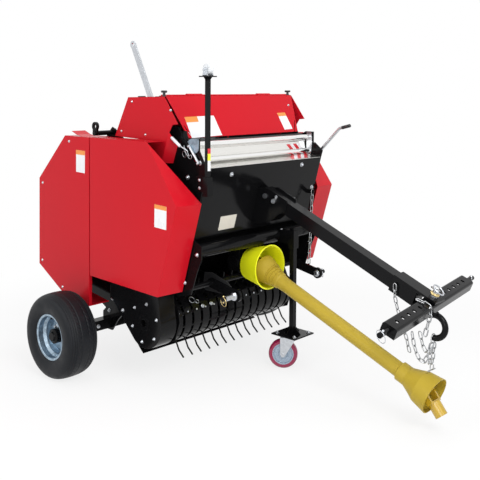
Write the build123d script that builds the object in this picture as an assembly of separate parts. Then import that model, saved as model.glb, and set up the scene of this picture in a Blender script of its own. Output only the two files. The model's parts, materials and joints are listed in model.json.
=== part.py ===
from build123d import *
import math
import os

# Round baler, millimetres. While the pieces are made, x runs forward from the wheel axle,
# y to the machine's left and z up from the ground. Each piece is then moved back by
# ORIGIN_X, so that the origin lies on the ground under the middle of the whole machine.

# Stock and clearances
PLATE = 6.0
SHEET = 3.0
ARM_PLATE = 8.0
FIT = 0.3
RUN_GAP = 5.0

# Bale chamber and its rollers
CHAMBER_Z = 735.0
ROLLER_PITCH_R = 330.0
ROLLER_R = 42.0
ROLLER_WALL = 5.0
RIB_HEIGHT = 4.0
RIB_WIDTH = 10.0
RIB_COUNT = 8
STUB_R = 10.0
FRONT_ROLLER_DEG = (74, 56.5, 39, 21.5, 4, -13.5, -74)
REAR_ROLLER_COUNT = 10
REAR_ROLLER_FIRST_DEG = 96.0
ROLLER_STEP_DEG = 17.5
CHASSIS_Y = 412.0
SEAM_X = 35.0
SEAM_GAP = 8.0
GATE_BAR = 30.0

# Tailgate hinge
GATE_HINGE_X = 20.0
GATE_HINGE_Z = 1166.0
GATE_SHAFT_R = 12.0
EAR_R = 28.0
LIFT_EYE_R = 22.0
LIFT_EYE_HOLE_R = 11.0
LIFT_EYE_RISE = 34.0

# Side covers
COVER_Y = 565.0
COVER_TOP_Z = 1148.0
COVER_RIM = 120.0
DOOR_RIM = 97.0
FLANGE = 18.0
DOOR_CROWN_X = 464.0
DOOR_BEND_X = 663.0
DOOR_BEND_Z = 875.0
DOOR_LOW_X = 538.0
DOOR_LOW_Z = 457.0
DOOR_SEAM_Z = 469.0
BEVEL_FORWARD = 12.0
BEVEL_Y = 424.0
STAY_R = 9.0
COVER_STAYS = ((-300.0, 880.0), (-320.0, 520.0), (-120.0, 1070.0))
HINGE_IN = 20.0
HINGE_DEPTH = 11.0
HINGE_PIN_R = 4.5
HINGE_RISE = 12.0
HINGE_LEVELS = (560.0, 1060.0)

# Wheels and axle
TYRE_R = 203.0
TYRE_W = 165.0
TYRE_CROWN_HALF = 50.0
TYRE_SHOULDER = 31.0
TYRE_GAP = 59.5
BEAD_R = 103.0
BEAD_HALF = 57.0
RIM_HALF = 66.0
RIM_WALL = 4.0
RIM_FLANGE = 13.0
RIM_WELL = 10.0
HUB_R = 35.0
HUB_FLANGE_R = 58.0
HUB_OUT = 58.0
HUB_IN = 56.0
SPINDLE_R = 15.0
AXLE_SECTION = 50.0
AXLE_WALL = 5.0

# Net box
BOX_END_Y = 460.0
LID_TOP_X = 466.0
LID_TOP_Z = 1354.0
LID_LOW_X = 561.0
LID_LOW_Z = 1163.0
LID_SIDE_GAP = 8.0
LID_TAPER = 56.0
LID_SLOT = 6.0
LID_HINGE_X = 440.0
LID_HINGE_LIFT = 2.0
LID_PIN_R = 5.0
LID_KNUCKLE_R = 9.0
NET_ROLLER_X = 626.0
NET_ROLLER_UPPER_Z = 1138.0
NET_ROLLER_LOWER_Z = 1067.0
NET_ROLLER_R = 12.0
NET_JOURNAL_R = 7.0
TRAY_SHEET = 2.5
TRAY_DEPTH = 92.0
TRAY_RISE = 82.0
TRAY_FALL_DEG = 10.3

# Pickup
REEL_X = 395.0
REEL_Z = 300.0
REEL_SHAFT_R = 17.5
TINE_BAR_R = 62.0
TINE_BEND_R = 165.0
TINE_TIP_R = 202.0
TINE_TIP_LEAD = 14.0
TINE_PITCH = 57.7
TINE_COUNT = 14
TINE_WIRE = 5.5
TINE_ROWS = 3
TINE_FIRST_DEG = -61.0
BAND_R = 115.0
BAND_SHEET = 3.0
BAND_GAP = 16.0
BAND_TOP = (165.0, 420.0)
BAND_LOW = (182.0, 232.0)
CASE_R = 118.0
CASE_OUT_Y = 520.0
CASE_IN_GAP = 8.6
CASE_REAR = (140.0, 380.0)

# Front panel, cross tube, gearbox and drawbar
PANEL_TOP = (700.0, 1031.0)
PANEL_FOLD = (660.0, 886.0)
PANEL_LOW = (612.0, 707.0)
PANEL_LIP = 16.0
BEAM_X = 550.0
BEAM_Z = 660.0
BEAM_DEPTH = 40.0
BEAM_HEIGHT = 60.0
CROSS_TUBE_X = 632.0
CROSS_TUBE_Z = 652.0
CROSS_TUBE_R = 32.0
JOINT_X = 640.0
JOINT_Z = 527.0
GUARD_REAR_X = 590.0
GUARD_FRONT_X = 715.0
GUARD_REAR_R = 80.0
GUARD_FRONT_R = 105.0
GEARBOX_HALF = 70.0
HEAD_WALL = 8.0
HEAD_TOP_Z = 908.0
HEAD_LOW_Z = 742.0
PIVOT_IN = 28.0
PIVOT_R = 12.0
PIVOT_HALF = 48.0
LOCK_IN = 90.0
LOCK_UP = 6.0
LOCK_R = 8.0
LOCK_HALF = 52.0
DRAWBAR_SECTION = 60.0
DRAWBAR_WALL = 6.0
DRAWBAR_START_X = 690.0
DRAWBAR_START_Z = 888.0
DRAWBAR_END_X = 1524.0
DRAWBAR_END_Z = 540.0

# Hitch at the front end of the drawbar
SLEEVE_LENGTH = 120.0
SLEEVE_WALL = 6.7
SLEEVE_AHEAD = 2.3
DRAWBAR_SHORT = 6.0
JAW_LENGTH = 98.0
JAW_PLATE = 10.0
PIN_AHEAD = 60.0
HITCH_PIN_R = 12.0
CROSSBAR_HALF = 375.0
CROSSBAR_WIDTH = 64.0
CROSSBAR_HEIGHT = 44.0
CROSSBAR_SKEW_DEG = 6.0
CROSSBAR_HOLES = 5
LINK_PIN_R = 11.0
LINK_PIN_LENGTH = 74.0
HOOK_AHEAD = 52.3
HOOK_DROP = 72.0
HOOK_R = 47.0
HOOK_ROD_R = 13.0

# Drive shaft
SHAFT_FALL_DEG = 21.7
YOKE_DROOP_DEG = 30.0
SHIELD_R = 33.0
SHIELD_WALL = 4.0
BELL_R = 80.0
FRONT_JOINT_U = 1000.0
CROSS_R = 8.0
EAR_OUT = 35.0
EAR_THICK = 10.0
EAR_WIDTH = 28.0
YOKE_BORE_R = 17.4

# Stands
LEG_X = 735.0
LEG_Y = 150.0
LEG_SECTION = 25.0
LEG_TOP_Z = 700.0
SOCKET_WALL = 6.0
SOCKET_LOW_Z = 600.0
SOCKET_TOP_Z = 690.0
CASTER_R = 72.0
CASTER_W = 36.0
CASTER_TRAIL = 45.8
CASTER_TURN_DEG = 216.0
CASTER_PLATE = 150.0
CASTER_TOP_Z = 170.0
CASTER_PIN_R = 6.0
GUSSET = 40.0
SPARE_X = 722.0
SPARE_SECTION = 18.0
SPARE_LOW_Z = 925.0
SPARE_TOP_Z = 1441.0
SPARE_PLATE = 56.0
SPARE_WHEEL_R = 24.0
SPARE_WHEEL_W = 22.0

# Lift arms, levers and chains
ARM_PIVOT_X = 565.0
ARM_PIVOT_Z = 470.0
ARM_END_X = 730.0
ARM_END_Z = 440.0
ARM_END_R = 28.0
ARM_BAR_R = 14.0
ARM_NEAR_Y = 250.0
ARM_FAR_Y = 356.0
LEVER_Y = 434.0
ARM_CHAIN_X = 692.0
ARM_CHAIN_Z = 868.0
KEEPER_BACK = 95.0
KEEPER_UP = 8.0
KEEPER_Y = 47.0
LINK_PITCH = 28.0
LINK_WIRE = 4.0
LINK_INNER = 8.0
LINK_PLAY = 0.8

REAR_X = -415.0

# Worked out from the sizes above
PLATE_OUT_Y = CHASSIS_Y + PLATE
SEAT_Y = PLATE_OUT_Y + FIT
INSIDE_Y = CHASSIS_Y - FIT
GATE_OUT_Y = CHASSIS_Y - RUN_GAP
GATE_IN_Y = GATE_OUT_Y - PLATE
GATE_X = SEAM_X - SEAM_GAP
TRACK_HALF = COVER_Y + TYRE_GAP + TYRE_W / 2
DRAWBAR_LENGTH = math.hypot(DRAWBAR_END_X - DRAWBAR_START_X, DRAWBAR_START_Z - DRAWBAR_END_Z)
DRAWBAR_FALL_DEG = math.degrees(math.asin((DRAWBAR_START_Z - DRAWBAR_END_Z) / DRAWBAR_LENGTH))
PIN_U = DRAWBAR_LENGTH + PIN_AHEAD
COS_FALL = math.cos(math.radians(DRAWBAR_FALL_DEG))
SIN_FALL = math.sin(math.radians(DRAWBAR_FALL_DEG))
PIN_X = DRAWBAR_START_X + PIN_U * COS_FALL
PIN_Z = DRAWBAR_START_Z - PIN_U * SIN_FALL
KEEPER_U = DRAWBAR_LENGTH + SLEEVE_AHEAD - KEEPER_BACK
KEEPER_X = DRAWBAR_START_X + KEEPER_U * COS_FALL + KEEPER_UP * SIN_FALL
KEEPER_Z = DRAWBAR_START_Z - KEEPER_U * SIN_FALL + KEEPER_UP * COS_FALL
HOOK_X = PIN_X + HOOK_AHEAD * COS_FALL - HOOK_DROP * SIN_FALL
HOOK_Z = PIN_Z - HOOK_AHEAD * SIN_FALL - HOOK_DROP * COS_FALL
FRONT_X = HOOK_X + HOOK_R + HOOK_ROD_R
ORIGIN_X = (REAR_X + FRONT_X) / 2

parts = {}


def slab_face(outline, y_low, y_high):
    """Prism of a side-view face between two y planes."""
    return Pos(0, y_high, 0) * extrude(Plane.XZ * outline, amount=y_high - y_low)


def slab(points, y_low, y_high):
    """Prism of a side-view outline between two y planes."""
    return slab_face(make_face(Polyline(*points, close=True)), y_low, y_high)


def block(x0, x1, y0, y1, z0, z1):
    centre = ((x0 + x1) / 2, (y0 + y1) / 2, (z0 + z1) / 2)
    return Pos(*centre) * Box(x1 - x0, y1 - y0, z1 - z0)


def rod_y(x, z, radius, y0, y1):
    return Pos(x, (y0 + y1) / 2, z) * Rot(90, 0, 0) * Cylinder(radius, y1 - y0)


def rod_x(x0, x1, y, z, radius):
    return Pos((x0 + x1) / 2, y, z) * Rot(0, 90, 0) * Cylinder(radius, x1 - x0)


def rod_z(x, y, z0, z1, radius):
    return Pos(x, y, (z0 + z1) / 2) * Cylinder(radius, z1 - z0)


def other_side(shape):
    return mirror(shape, Plane.XZ)


def pair(name, shape):
    """Store the right-hand piece and its mirror on the left."""
    parts[name + "_right"] = shape
    parts[name + "_left"] = other_side(shape)


def strip(line, thickness, y0, y1):
    """Bent sheet that follows a side-view line."""
    return slab_face(make_face(offset(line, thickness / 2, side=Side.BOTH)), y0, y1)


def turned(points):
    """Solid of revolution about the wheel axis; points are (radius, distance along the axis)."""
    return revolve(make_face(Polyline(*points, close=True)), axis=Axis.Y)


def sheet_of(points):
    """Flat sheet with straight edges, SHEET thick towards the rear."""
    return extrude(make_face(Polyline(*points, close=True)), amount=SHEET, dir=(-1, 0, 0))


def drawbar_frame():
    """Placement whose x runs forward along the middle of the drawbar and whose z is up."""
    return Pos(DRAWBAR_START_X, 0, DRAWBAR_START_Z) * Rot(0, DRAWBAR_FALL_DEG, 0)


def shaft_frame():
    """Placement whose z runs down the drive shaft from its rear joint."""
    fall = math.radians(SHAFT_FALL_DEG)
    return Plane(origin=(JOINT_X, 0, JOINT_Z), x_dir=(0, 1, 0),
                 z_dir=(math.cos(fall), 0, -math.sin(fall)))


def make_tyre():
    half = [(BEAD_R + FIT, BEAD_HALF), (TYRE_R - TYRE_SHOULDER, TYRE_W / 2), (TYRE_R, TYRE_CROWN_HALF)]
    return turned(half + [(r, -y) for r, y in reversed(half)])


def make_rim():
    seat_r = BEAD_R - RIM_WALL / 2
    well_r = seat_r - RIM_WELL
    half = [(seat_r + RIM_FLANGE, RIM_HALF), (seat_r, RIM_HALF - 2), (seat_r, 38), (well_r, 26)]
    barrel = Polyline(*half, *[(r, -y) for r, y in reversed(half)])
    disc = Polyline((well_r, 6), (70, -4), (HUB_R - 5, -4))
    rim = revolve(make_face(offset(barrel, RIM_WALL / 2, side=Side.BOTH)), axis=Axis.Y)
    rim += revolve(make_face(offset(disc, RIM_WALL / 2 + 0.5, side=Side.BOTH)), axis=Axis.Y)
    return rim - rod_y(0, 0, HUB_R + FIT, -RIM_HALF, RIM_HALF)


def make_hub():
    flange_y = -4 + RIM_WALL / 2 + 0.5 + FIT
    return turned([
        (0, -HUB_OUT), (20, -HUB_OUT), (24, -HUB_OUT + 8), (HUB_R, -HUB_OUT + 12), (HUB_R, flange_y),
        (HUB_FLANGE_R, flange_y), (HUB_FLANGE_R, flange_y + 6), (HUB_R, flange_y + 6), (HUB_R, HUB_IN),
        (SPINDLE_R + FIT, HUB_IN), (SPINDLE_R + FIT, -HUB_OUT + 6), (0, -HUB_OUT + 6)])


def make_wheels():
    seat = Pos(0, -TRACK_HALF, TYRE_R)
    pair("tyre", seat * make_tyre())
    pair("rim", seat * make_rim())
    pair("hub", seat * make_hub())


def make_axle():
    half = AXLE_SECTION / 2
    end_y = TRACK_HALF - HUB_IN - 4
    inside = half - AXLE_WALL
    axle = block(-half, half, -end_y, end_y, TYRE_R - half, TYRE_R + half)
    axle -= block(-inside, inside, -end_y + 10, end_y - 10, TYRE_R - inside, TYRE_R + inside)
    spindle_end = TRACK_HALF + HUB_OUT - 7
    axle += rod_y(0, TYRE_R, SPINDLE_R, -spindle_end, -end_y)
    axle += rod_y(0, TYRE_R, SPINDLE_R, end_y, spindle_end)
    parts["axle"] = axle
    arm = slab(
        [(-45, TYRE_R - 38), (30, TYRE_R - 38), (75, TYRE_R + 22), (130, TYRE_R + 77), (250, TYRE_R + 127),
         (250, TYRE_R + 317), (40, TYRE_R + 317), (20, TYRE_R + 197), (10, TYRE_R + 97), (-45, TYRE_R + 47)],
        -SEAT_Y - ARM_PLATE, -SEAT_Y)
    hole = half + FIT
    arm -= block(-hole, hole, -SEAT_Y - 20, -SEAT_Y + 10, TYRE_R - hole, TYRE_R + hole)
    parts["axle_arms"] = Compound([arm, other_side(arm)])


def roller_centre(angle_deg):
    angle = math.radians(angle_deg)
    return ROLLER_PITCH_R * math.cos(angle), CHAMBER_Z + ROLLER_PITCH_R * math.sin(angle)


def roller(half_length, stub_end):
    """Ribbed tube with closed ends and a stub axle at each end, on the y axis."""
    section = Circle(ROLLER_R)
    rib = Pos(ROLLER_R, 0) * Rectangle(2 * RIB_HEIGHT, RIB_WIDTH)
    for i in range(RIB_COUNT):
        section += Rot(0, 0, i * 360 / RIB_COUNT) * rib
    tube = slab_face(section, -half_length, half_length)
    hollow = half_length - 2 * ROLLER_WALL
    tube -= rod_y(0, 0, ROLLER_R - ROLLER_WALL, -hollow, hollow)
    return tube + rod_y(0, 0, STUB_R, half_length - 1, stub_end) + rod_y(0, 0, STUB_R, -stub_end, 1 - half_length)


def make_chamber():
    plate = slab(
        [(GATE_HINGE_X - EAR_R, GATE_HINGE_Z), (GATE_HINGE_X, GATE_HINGE_Z + EAR_R),
         (60, GATE_HINGE_Z + 10), (110, 1140), (430, 1140), (470, 1215), (518, 1215), (550, 1150),
         (575, 1150), (600, 1165), (652, 1165), (652, 1110),
         PANEL_TOP, PANEL_FOLD, PANEL_LOW, (668, 680), (668, 620), (640, 560), (600, 450), (520, 430),
         (330, 430), (130, 430), (110, 360), (SEAM_X, 360), (SEAM_X, 1120)],
        -PLATE_OUT_Y, -CHASSIS_Y)
    plate -= rod_y(GATE_HINGE_X, GATE_HINGE_Z, GATE_SHAFT_R + FIT, -PLATE_OUT_Y - 1, -CHASSIS_Y + 1)
    for z in (NET_ROLLER_UPPER_Z, NET_ROLLER_LOWER_Z):
        plate -= rod_y(NET_ROLLER_X, z, NET_JOURNAL_R + FIT, -PLATE_OUT_Y - 1, -CHASSIS_Y + 1)
    gate = slab(
        [(GATE_X, 1110), (GATE_HINGE_X + 20, GATE_HINGE_Z - 10), (GATE_HINGE_X + 10, GATE_HINGE_Z + 20),
         (GATE_HINGE_X - 20, GATE_HINGE_Z + 15), (-60, 1128), (-185, 1128), (-392, 920), (-396, 470),
         (-200, 352), (GATE_X, 330)],
        -GATE_OUT_Y, -GATE_IN_Y)
    gate -= rod_y(GATE_HINGE_X, GATE_HINGE_Z, GATE_SHAFT_R + FIT, -GATE_OUT_Y - 1, -GATE_IN_Y + 1)
    front_roller = roller(INSIDE_Y, PLATE_OUT_Y)
    rear_roller = roller(GATE_IN_Y - FIT, GATE_OUT_Y)
    front = []
    for angle in FRONT_ROLLER_DEG:
        x, z = roller_centre(angle)
        front.append(Pos(x, 0, z) * front_roller)
        plate -= rod_y(x, z, STUB_R + FIT, -PLATE_OUT_Y - 1, -CHASSIS_Y + 1)
    rear = []
    for i in range(REAR_ROLLER_COUNT):
        x, z = roller_centre(REAR_ROLLER_FIRST_DEG + i * ROLLER_STEP_DEG)
        rear.append(Pos(x, 0, z) * rear_roller)
        gate -= rod_y(x, z, STUB_R + FIT, -GATE_OUT_Y - 1, -GATE_IN_Y + 1)
    parts["chamber_rollers"] = Compound(front)
    parts["gate_rollers"] = Compound(rear)
    pair("gate_plate", gate)
    bars = [Pos(x, 0, z) * Rot(0, 45, 0) * Box(GATE_BAR, 2 * (GATE_IN_Y - FIT), GATE_BAR)
            for x, z in ((-300, 985), (-318, 455))]
    parts["gate_bars"] = Compound(bars)
    plate += hinge_arms()
    parts["side_plate_right"] = plate
    ear = slab([(660, 1110), (712, 1070), (700, PANEL_TOP[1]), (660, PANEL_TOP[1])], CHASSIS_Y, PLATE_OUT_Y)
    parts["side_plate_left"] = other_side(plate) + ear
    parts["gate_shaft"] = gate_shaft()


def hinge_axis():
    """Where a door turns: x, y of its pins on the right-hand side."""
    return SEAM_X + HINGE_IN, -COVER_Y + HINGE_DEPTH


def hinge_arms():
    """Arms of the side plate that carry the door's pins."""
    x, y = hinge_axis()
    half = HINGE_RISE / 2
    arms = None
    for z in HINGE_LEVELS:
        arm = block(x, x + 24, y, -PLATE_OUT_Y, z - half, z + half) + rod_z(x, y, z - half, z + half, 7.5)
        arm -= rod_z(x, y, z - HINGE_RISE, z + HINGE_RISE, HINGE_PIN_R + FIT)
        arms = arm if arms is None else arms + arm
    return arms


def gate_shaft():
    """Shaft that the tailgate turns on, with a lifting eye at each end."""
    end = COVER_Y - 35
    shaft = rod_y(GATE_HINGE_X, GATE_HINGE_Z, GATE_SHAFT_R, -end, end)
    eye_z = GATE_HINGE_Z + LIFT_EYE_RISE
    for y0, y1 in ((-end + 4, -end + 16), (end - 16, end - 4)):
        shaft += rod_y(GATE_HINGE_X, eye_z, LIFT_EYE_R, y0, y1)
        shaft += block(GATE_HINGE_X - 16, GATE_HINGE_X + 16, y0, y1, GATE_HINGE_Z, eye_z)
        shaft -= rod_y(GATE_HINGE_X, eye_z, LIFT_EYE_HOLE_R, y0 - 1, y1 + 1)
    return shaft


def make_gate_covers():
    outline = make_face(Polyline(
        (GATE_X, COVER_TOP_Z), (-176, COVER_TOP_Z), (-412, 913), (REAR_X, 458), (-204, 345),
        (GATE_X, 314), close=True))
    shell = slab_face(outline, -COVER_Y, -COVER_Y + COVER_RIM)
    shell -= slab_face(offset(outline, -SHEET, kind=Kind.INTERSECTION), -COVER_Y + SHEET, -COVER_Y + COVER_RIM + 1)
    shell -= block(GATE_X - SHEET - 1, GATE_X + 1, -COVER_Y + FLANGE, -COVER_Y + COVER_RIM + 1,
                   314 + 2 * SHEET, COVER_TOP_Z - SHEET)
    for x, z in COVER_STAYS:
        shell += rod_y(x, z, STAY_R, -COVER_Y + 1, -GATE_OUT_Y - FIT)
    leaf = strip(Polyline((-30, COVER_TOP_Z - SHEET / 2), (-80, COVER_TOP_Z + 8), (-124, COVER_TOP_Z + 24)),
                 SHEET / 2, -COVER_Y + 5, -COVER_Y + 85)
    pair("gate_cover", shell + leaf)


def make_doors():
    skin = -COVER_Y + SHEET
    door = slab(
        [(SEAM_X, COVER_TOP_Z), (DOOR_CROWN_X, COVER_TOP_Z), (DOOR_BEND_X, DOOR_BEND_Z),
         (DOOR_LOW_X, DOOR_LOW_Z), (SEAM_X, DOOR_SEAM_Z)],
        -COVER_Y, skin)
    door += block(SEAM_X + 35, DOOR_CROWN_X - 2, skin, -COVER_Y + DOOR_RIM, COVER_TOP_Z - SHEET, COVER_TOP_Z)
    door += slab([(SEAM_X, DOOR_SEAM_Z), (DOOR_LOW_X, DOOR_LOW_Z), (DOOR_LOW_X, DOOR_LOW_Z + SHEET),
                  (SEAM_X, DOOR_SEAM_Z + SHEET)], skin, -COVER_Y + FLANGE)
    seam = block(SEAM_X, SEAM_X + SHEET, skin, -COVER_Y + FLANGE, DOOR_SEAM_Z, COVER_TOP_Z)
    x, y = hinge_axis()
    for z in HINGE_LEVELS:
        seam -= block(SEAM_X - 1, SEAM_X + SHEET + 1, skin, -COVER_Y + FLANGE + 1, z - HINGE_RISE, z + HINGE_RISE)
    door += seam
    bend_top = (DOOR_BEND_X, -COVER_Y, DOOR_BEND_Z)
    bend_low = (DOOR_LOW_X, -COVER_Y, DOOR_LOW_Z)
    edge_top = (DOOR_BEND_X + BEVEL_FORWARD, -BEVEL_Y, DOOR_BEND_Z)
    edge_low = (DOOR_LOW_X + BEVEL_FORWARD, -BEVEL_Y, DOOR_LOW_Z)
    door += sheet_of([bend_top, edge_top, edge_low, bend_low])
    door += sheet_of([(DOOR_CROWN_X, -COVER_Y, COVER_TOP_Z), edge_top, bend_top])
    for z in HINGE_LEVELS:
        low = z + HINGE_RISE / 2 + FIT
        door += rod_z(x, y, z - HINGE_RISE, low + 24, HINGE_PIN_R)
        door += block(x - 7, x + 7, skin - 1, y + 7, low, low + 24)
    pair("door", door)


def make_net_box():
    bend_top, bend_low = (498, 1190), (443, 1043)
    forward = 36
    forward_z = bend_low[1] + 85
    forward_x = bend_low[0] + forward + 85 * (bend_top[0] - bend_low[0]) / (bend_top[1] - bend_low[1])
    wall = slab(
        [(98, 1154), (200, 1346), (462, 1352), (556, 1228), (520, 1224), bend_top, bend_low, (320, 1146)],
        -BOX_END_Y, -BOX_END_Y + SHEET)
    wall += sheet_of([
        (bend_top[0], -BOX_END_Y, bend_top[1]), (forward_x, -SEAT_Y, forward_z),
        (bend_low[0] + forward, -SEAT_Y, bend_low[1]), (bend_low[0], -BOX_END_Y, bend_low[1])])
    for x, z in ((385, 1122), (430, 1085)):
        wall += rod_y(x, z, 12, -BOX_END_Y + 1, -SEAT_Y)
    pair("net_end", wall)
    inner_y = BOX_END_Y - SHEET - FIT
    hinge_z = LID_TOP_Z + LID_HINGE_LIFT
    cover = strip(Polyline((110, 1156), (201, 1343), (LID_HINGE_X - 16, 1350)), SHEET, -inner_y, inner_y)
    cover -= block(290, 385, -LEVER_Y - 13, -LEVER_Y + 13, 1300, 1400)
    cover += rod_y(LID_HINGE_X, hinge_z, LID_PIN_R, -inner_y, inner_y)
    for y in (-400, 0, 400):
        cover += block(LID_HINGE_X - 18, LID_HINGE_X - 1, y - 20, y + 20, hinge_z - 7, hinge_z - 2)
    parts["net_cover"] = cover
    make_lid(inner_y - LID_SIDE_GAP + SHEET, hinge_z)
    for name, z in (("upper", NET_ROLLER_UPPER_Z), ("lower", NET_ROLLER_LOWER_Z)):
        tube_half = INSIDE_Y - RUN_GAP
        parts["net_roller_" + name] = (rod_y(NET_ROLLER_X, z, NET_ROLLER_R, -tube_half, tube_half)
                                       + rod_y(NET_ROLLER_X, z, NET_JOURNAL_R, -PLATE_OUT_Y, PLATE_OUT_Y))
    along = Vector(-1, 0, math.tan(math.radians(TRAY_FALL_DEG))).normalized()
    lift = (TRAY_SHEET + SHEET) / 2 + FIT
    front_x = PANEL_TOP[0] + lift * along.Z + 2 * along.X
    front_z = PANEL_TOP[1] - lift * along.X + 2 * along.Z
    corner_x = front_x + TRAY_DEPTH * along.X
    corner_z = front_z + TRAY_DEPTH * along.Z
    tray = strip(Polyline((corner_x - 8, corner_z + TRAY_RISE), (corner_x, corner_z), (front_x, front_z)),
                 TRAY_SHEET, -INSIDE_Y, INSIDE_Y)
    parts["net_tray"] = tray + rod_y(corner_x - 6, corner_z + TRAY_RISE - 14, 5, -INSIDE_Y, INSIDE_Y)
    parts["net_brush"] = slab([(548, 1152), (578, 1152), (590, 1134), (584, 1130), (566, 1140), (548, 1140)],
                              -INSIDE_Y, INSIDE_Y)


def make_lid(top_half, hinge_z):
    low_half = top_half - LID_TAPER
    length = math.hypot(LID_LOW_X - LID_TOP_X, LID_TOP_Z - LID_LOW_Z)
    plane = Plane(origin=(LID_TOP_X, 0, LID_TOP_Z), x_dir=(0, 1, 0),
                  z_dir=(LID_TOP_Z - LID_LOW_Z, 0, LID_LOW_X - LID_TOP_X))
    face = make_face(Polyline((-top_half, 0), (top_half, 0), (low_half, -length), (-low_half, -length), close=True))
    for side in (-1, 1):
        slot = [(low_half - 29, -length - 1), (low_half - 29 + LID_SLOT, -length - 1),
                (low_half + 9, -length + 63), (low_half + 9 - LID_SLOT, -length + 63)]
        face -= make_face(Polyline(*[(side * y, z) for y, z in slot], close=True))
    lid = extrude(plane * face, amount=-SHEET)
    lid += block(LID_HINGE_X, LID_TOP_X - 2, -top_half, top_half, LID_TOP_Z - SHEET, LID_TOP_Z)
    for y in (-250, 250):
        lid += rod_y(LID_HINGE_X, hinge_z, LID_KNUCKLE_R, y - 50, y + 50)
    parts["net_lid"] = lid - rod_y(LID_HINGE_X, hinge_z, LID_PIN_R + FIT, -BOX_END_Y, BOX_END_Y)


def panel_front(z):
    """x of the front of the panel at a height, with the seating clearance."""
    low, high = (PANEL_LOW, PANEL_FOLD) if z <= PANEL_FOLD[1] else (PANEL_FOLD, PANEL_TOP)
    lean = (high[0] - low[0]) / (high[1] - low[1])
    return low[0] + (z - low[1]) * lean + (SHEET / 2 + FIT) * math.hypot(1, lean)


def make_front():
    fall = math.tan(math.radians(TRAY_FALL_DEG))
    lip = (PANEL_TOP[0] - PANEL_LIP, PANEL_TOP[1] + PANEL_LIP * fall)
    panel = strip(Polyline(lip, PANEL_TOP, PANEL_FOLD, PANEL_LOW), SHEET, -INSIDE_Y, INSIDE_Y)
    high, low = ARM_CHAIN_Z + 0.2, ARM_CHAIN_Z - 20
    parts["front_panel"] = panel + slab(
        [(panel_front(low) - SHEET / 2, low), (panel_front(high) - SHEET / 2, high), (ARM_CHAIN_X + 10, high),
         (ARM_CHAIN_X + 10, low)], ARM_FAR_Y - 3, ARM_FAR_Y + 3)
    beam_low = BEAM_Z - BEAM_HEIGHT / 2
    parts["front_beam"] = block(BEAM_X - BEAM_DEPTH / 2, BEAM_X + BEAM_DEPTH / 2, -INSIDE_Y, INSIDE_Y,
                                beam_low, beam_low + BEAM_HEIGHT)
    tube = rod_y(CROSS_TUBE_X, CROSS_TUBE_Z, CROSS_TUBE_R, -INSIDE_Y, INSIDE_Y)
    parts["cross_tube"] = tube - rod_y(CROSS_TUBE_X, CROSS_TUBE_Z, CROSS_TUBE_R - 5, -INSIDE_Y - 1, INSIDE_Y + 1)
    gearbox = block(500, 575, -GEARBOX_HALF, GEARBOX_HALF, JOINT_Z - 35, beam_low - FIT)
    gearbox += rod_x(575, GUARD_REAR_X + 6, 0, JOINT_Z, 45)
    gearbox += rod_y(538, JOINT_Z + 10, 34, -GEARBOX_HALF - 10, GEARBOX_HALF + 10)
    gearbox += rod_x(GUARD_REAR_X, JOINT_X - 30, 0, JOINT_Z, 24)
    gearbox += yoke_fork()
    parts["gearbox"] = gearbox
    length = GUARD_FRONT_X - GUARD_REAR_X
    middle = Pos((GUARD_REAR_X + GUARD_FRONT_X) / 2, 0, JOINT_Z) * Rot(0, 90, 0)
    guard = middle * (Cone(GUARD_REAR_R, GUARD_FRONT_R, length)
                      - Cone(GUARD_REAR_R - SHEET, GUARD_FRONT_R - SHEET, length))
    guard += rod_x(GUARD_REAR_X, GUARD_REAR_X + SHEET, 0, JOINT_Z, GUARD_REAR_R)
    guard -= rod_x(GUARD_REAR_X - 1, GUARD_REAR_X + SHEET + 1, 0, JOINT_Z, 45 + FIT)
    guard += rod_x(GUARD_FRONT_X - 5, GUARD_FRONT_X, 0, JOINT_Z, GUARD_FRONT_R + 3)
    guard -= rod_x(GUARD_FRONT_X - 6, GUARD_FRONT_X + 1, 0, JOINT_Z, GUARD_FRONT_R - SHEET)
    parts["input_guard"] = guard


def yoke_fork():
    """Input yoke and the cross of the drive shaft's rear joint, whose tilted arm the shaft turns on."""
    inner = EAR_OUT - EAR_THICK
    fork = block(JOINT_X - 35, JOINT_X - 25, -EAR_OUT, EAR_OUT, JOINT_Z - EAR_WIDTH / 2, JOINT_Z + EAR_WIDTH / 2)
    for y0, y1 in ((-EAR_OUT, -inner), (inner, EAR_OUT)):
        fork += block(JOINT_X - 26, JOINT_X, y0, y1, JOINT_Z - EAR_WIDTH / 2, JOINT_Z + EAR_WIDTH / 2)
        fork += rod_y(JOINT_X, JOINT_Z, EAR_WIDTH / 2, y0, y1)
    fork += rod_y(JOINT_X, JOINT_Z, CROSS_R, -inner - 1, inner + 1)
    return fork + shaft_frame() * (Rot(90, 0, 0) * Cylinder(CROSS_R, 2 * EAR_OUT))


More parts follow.
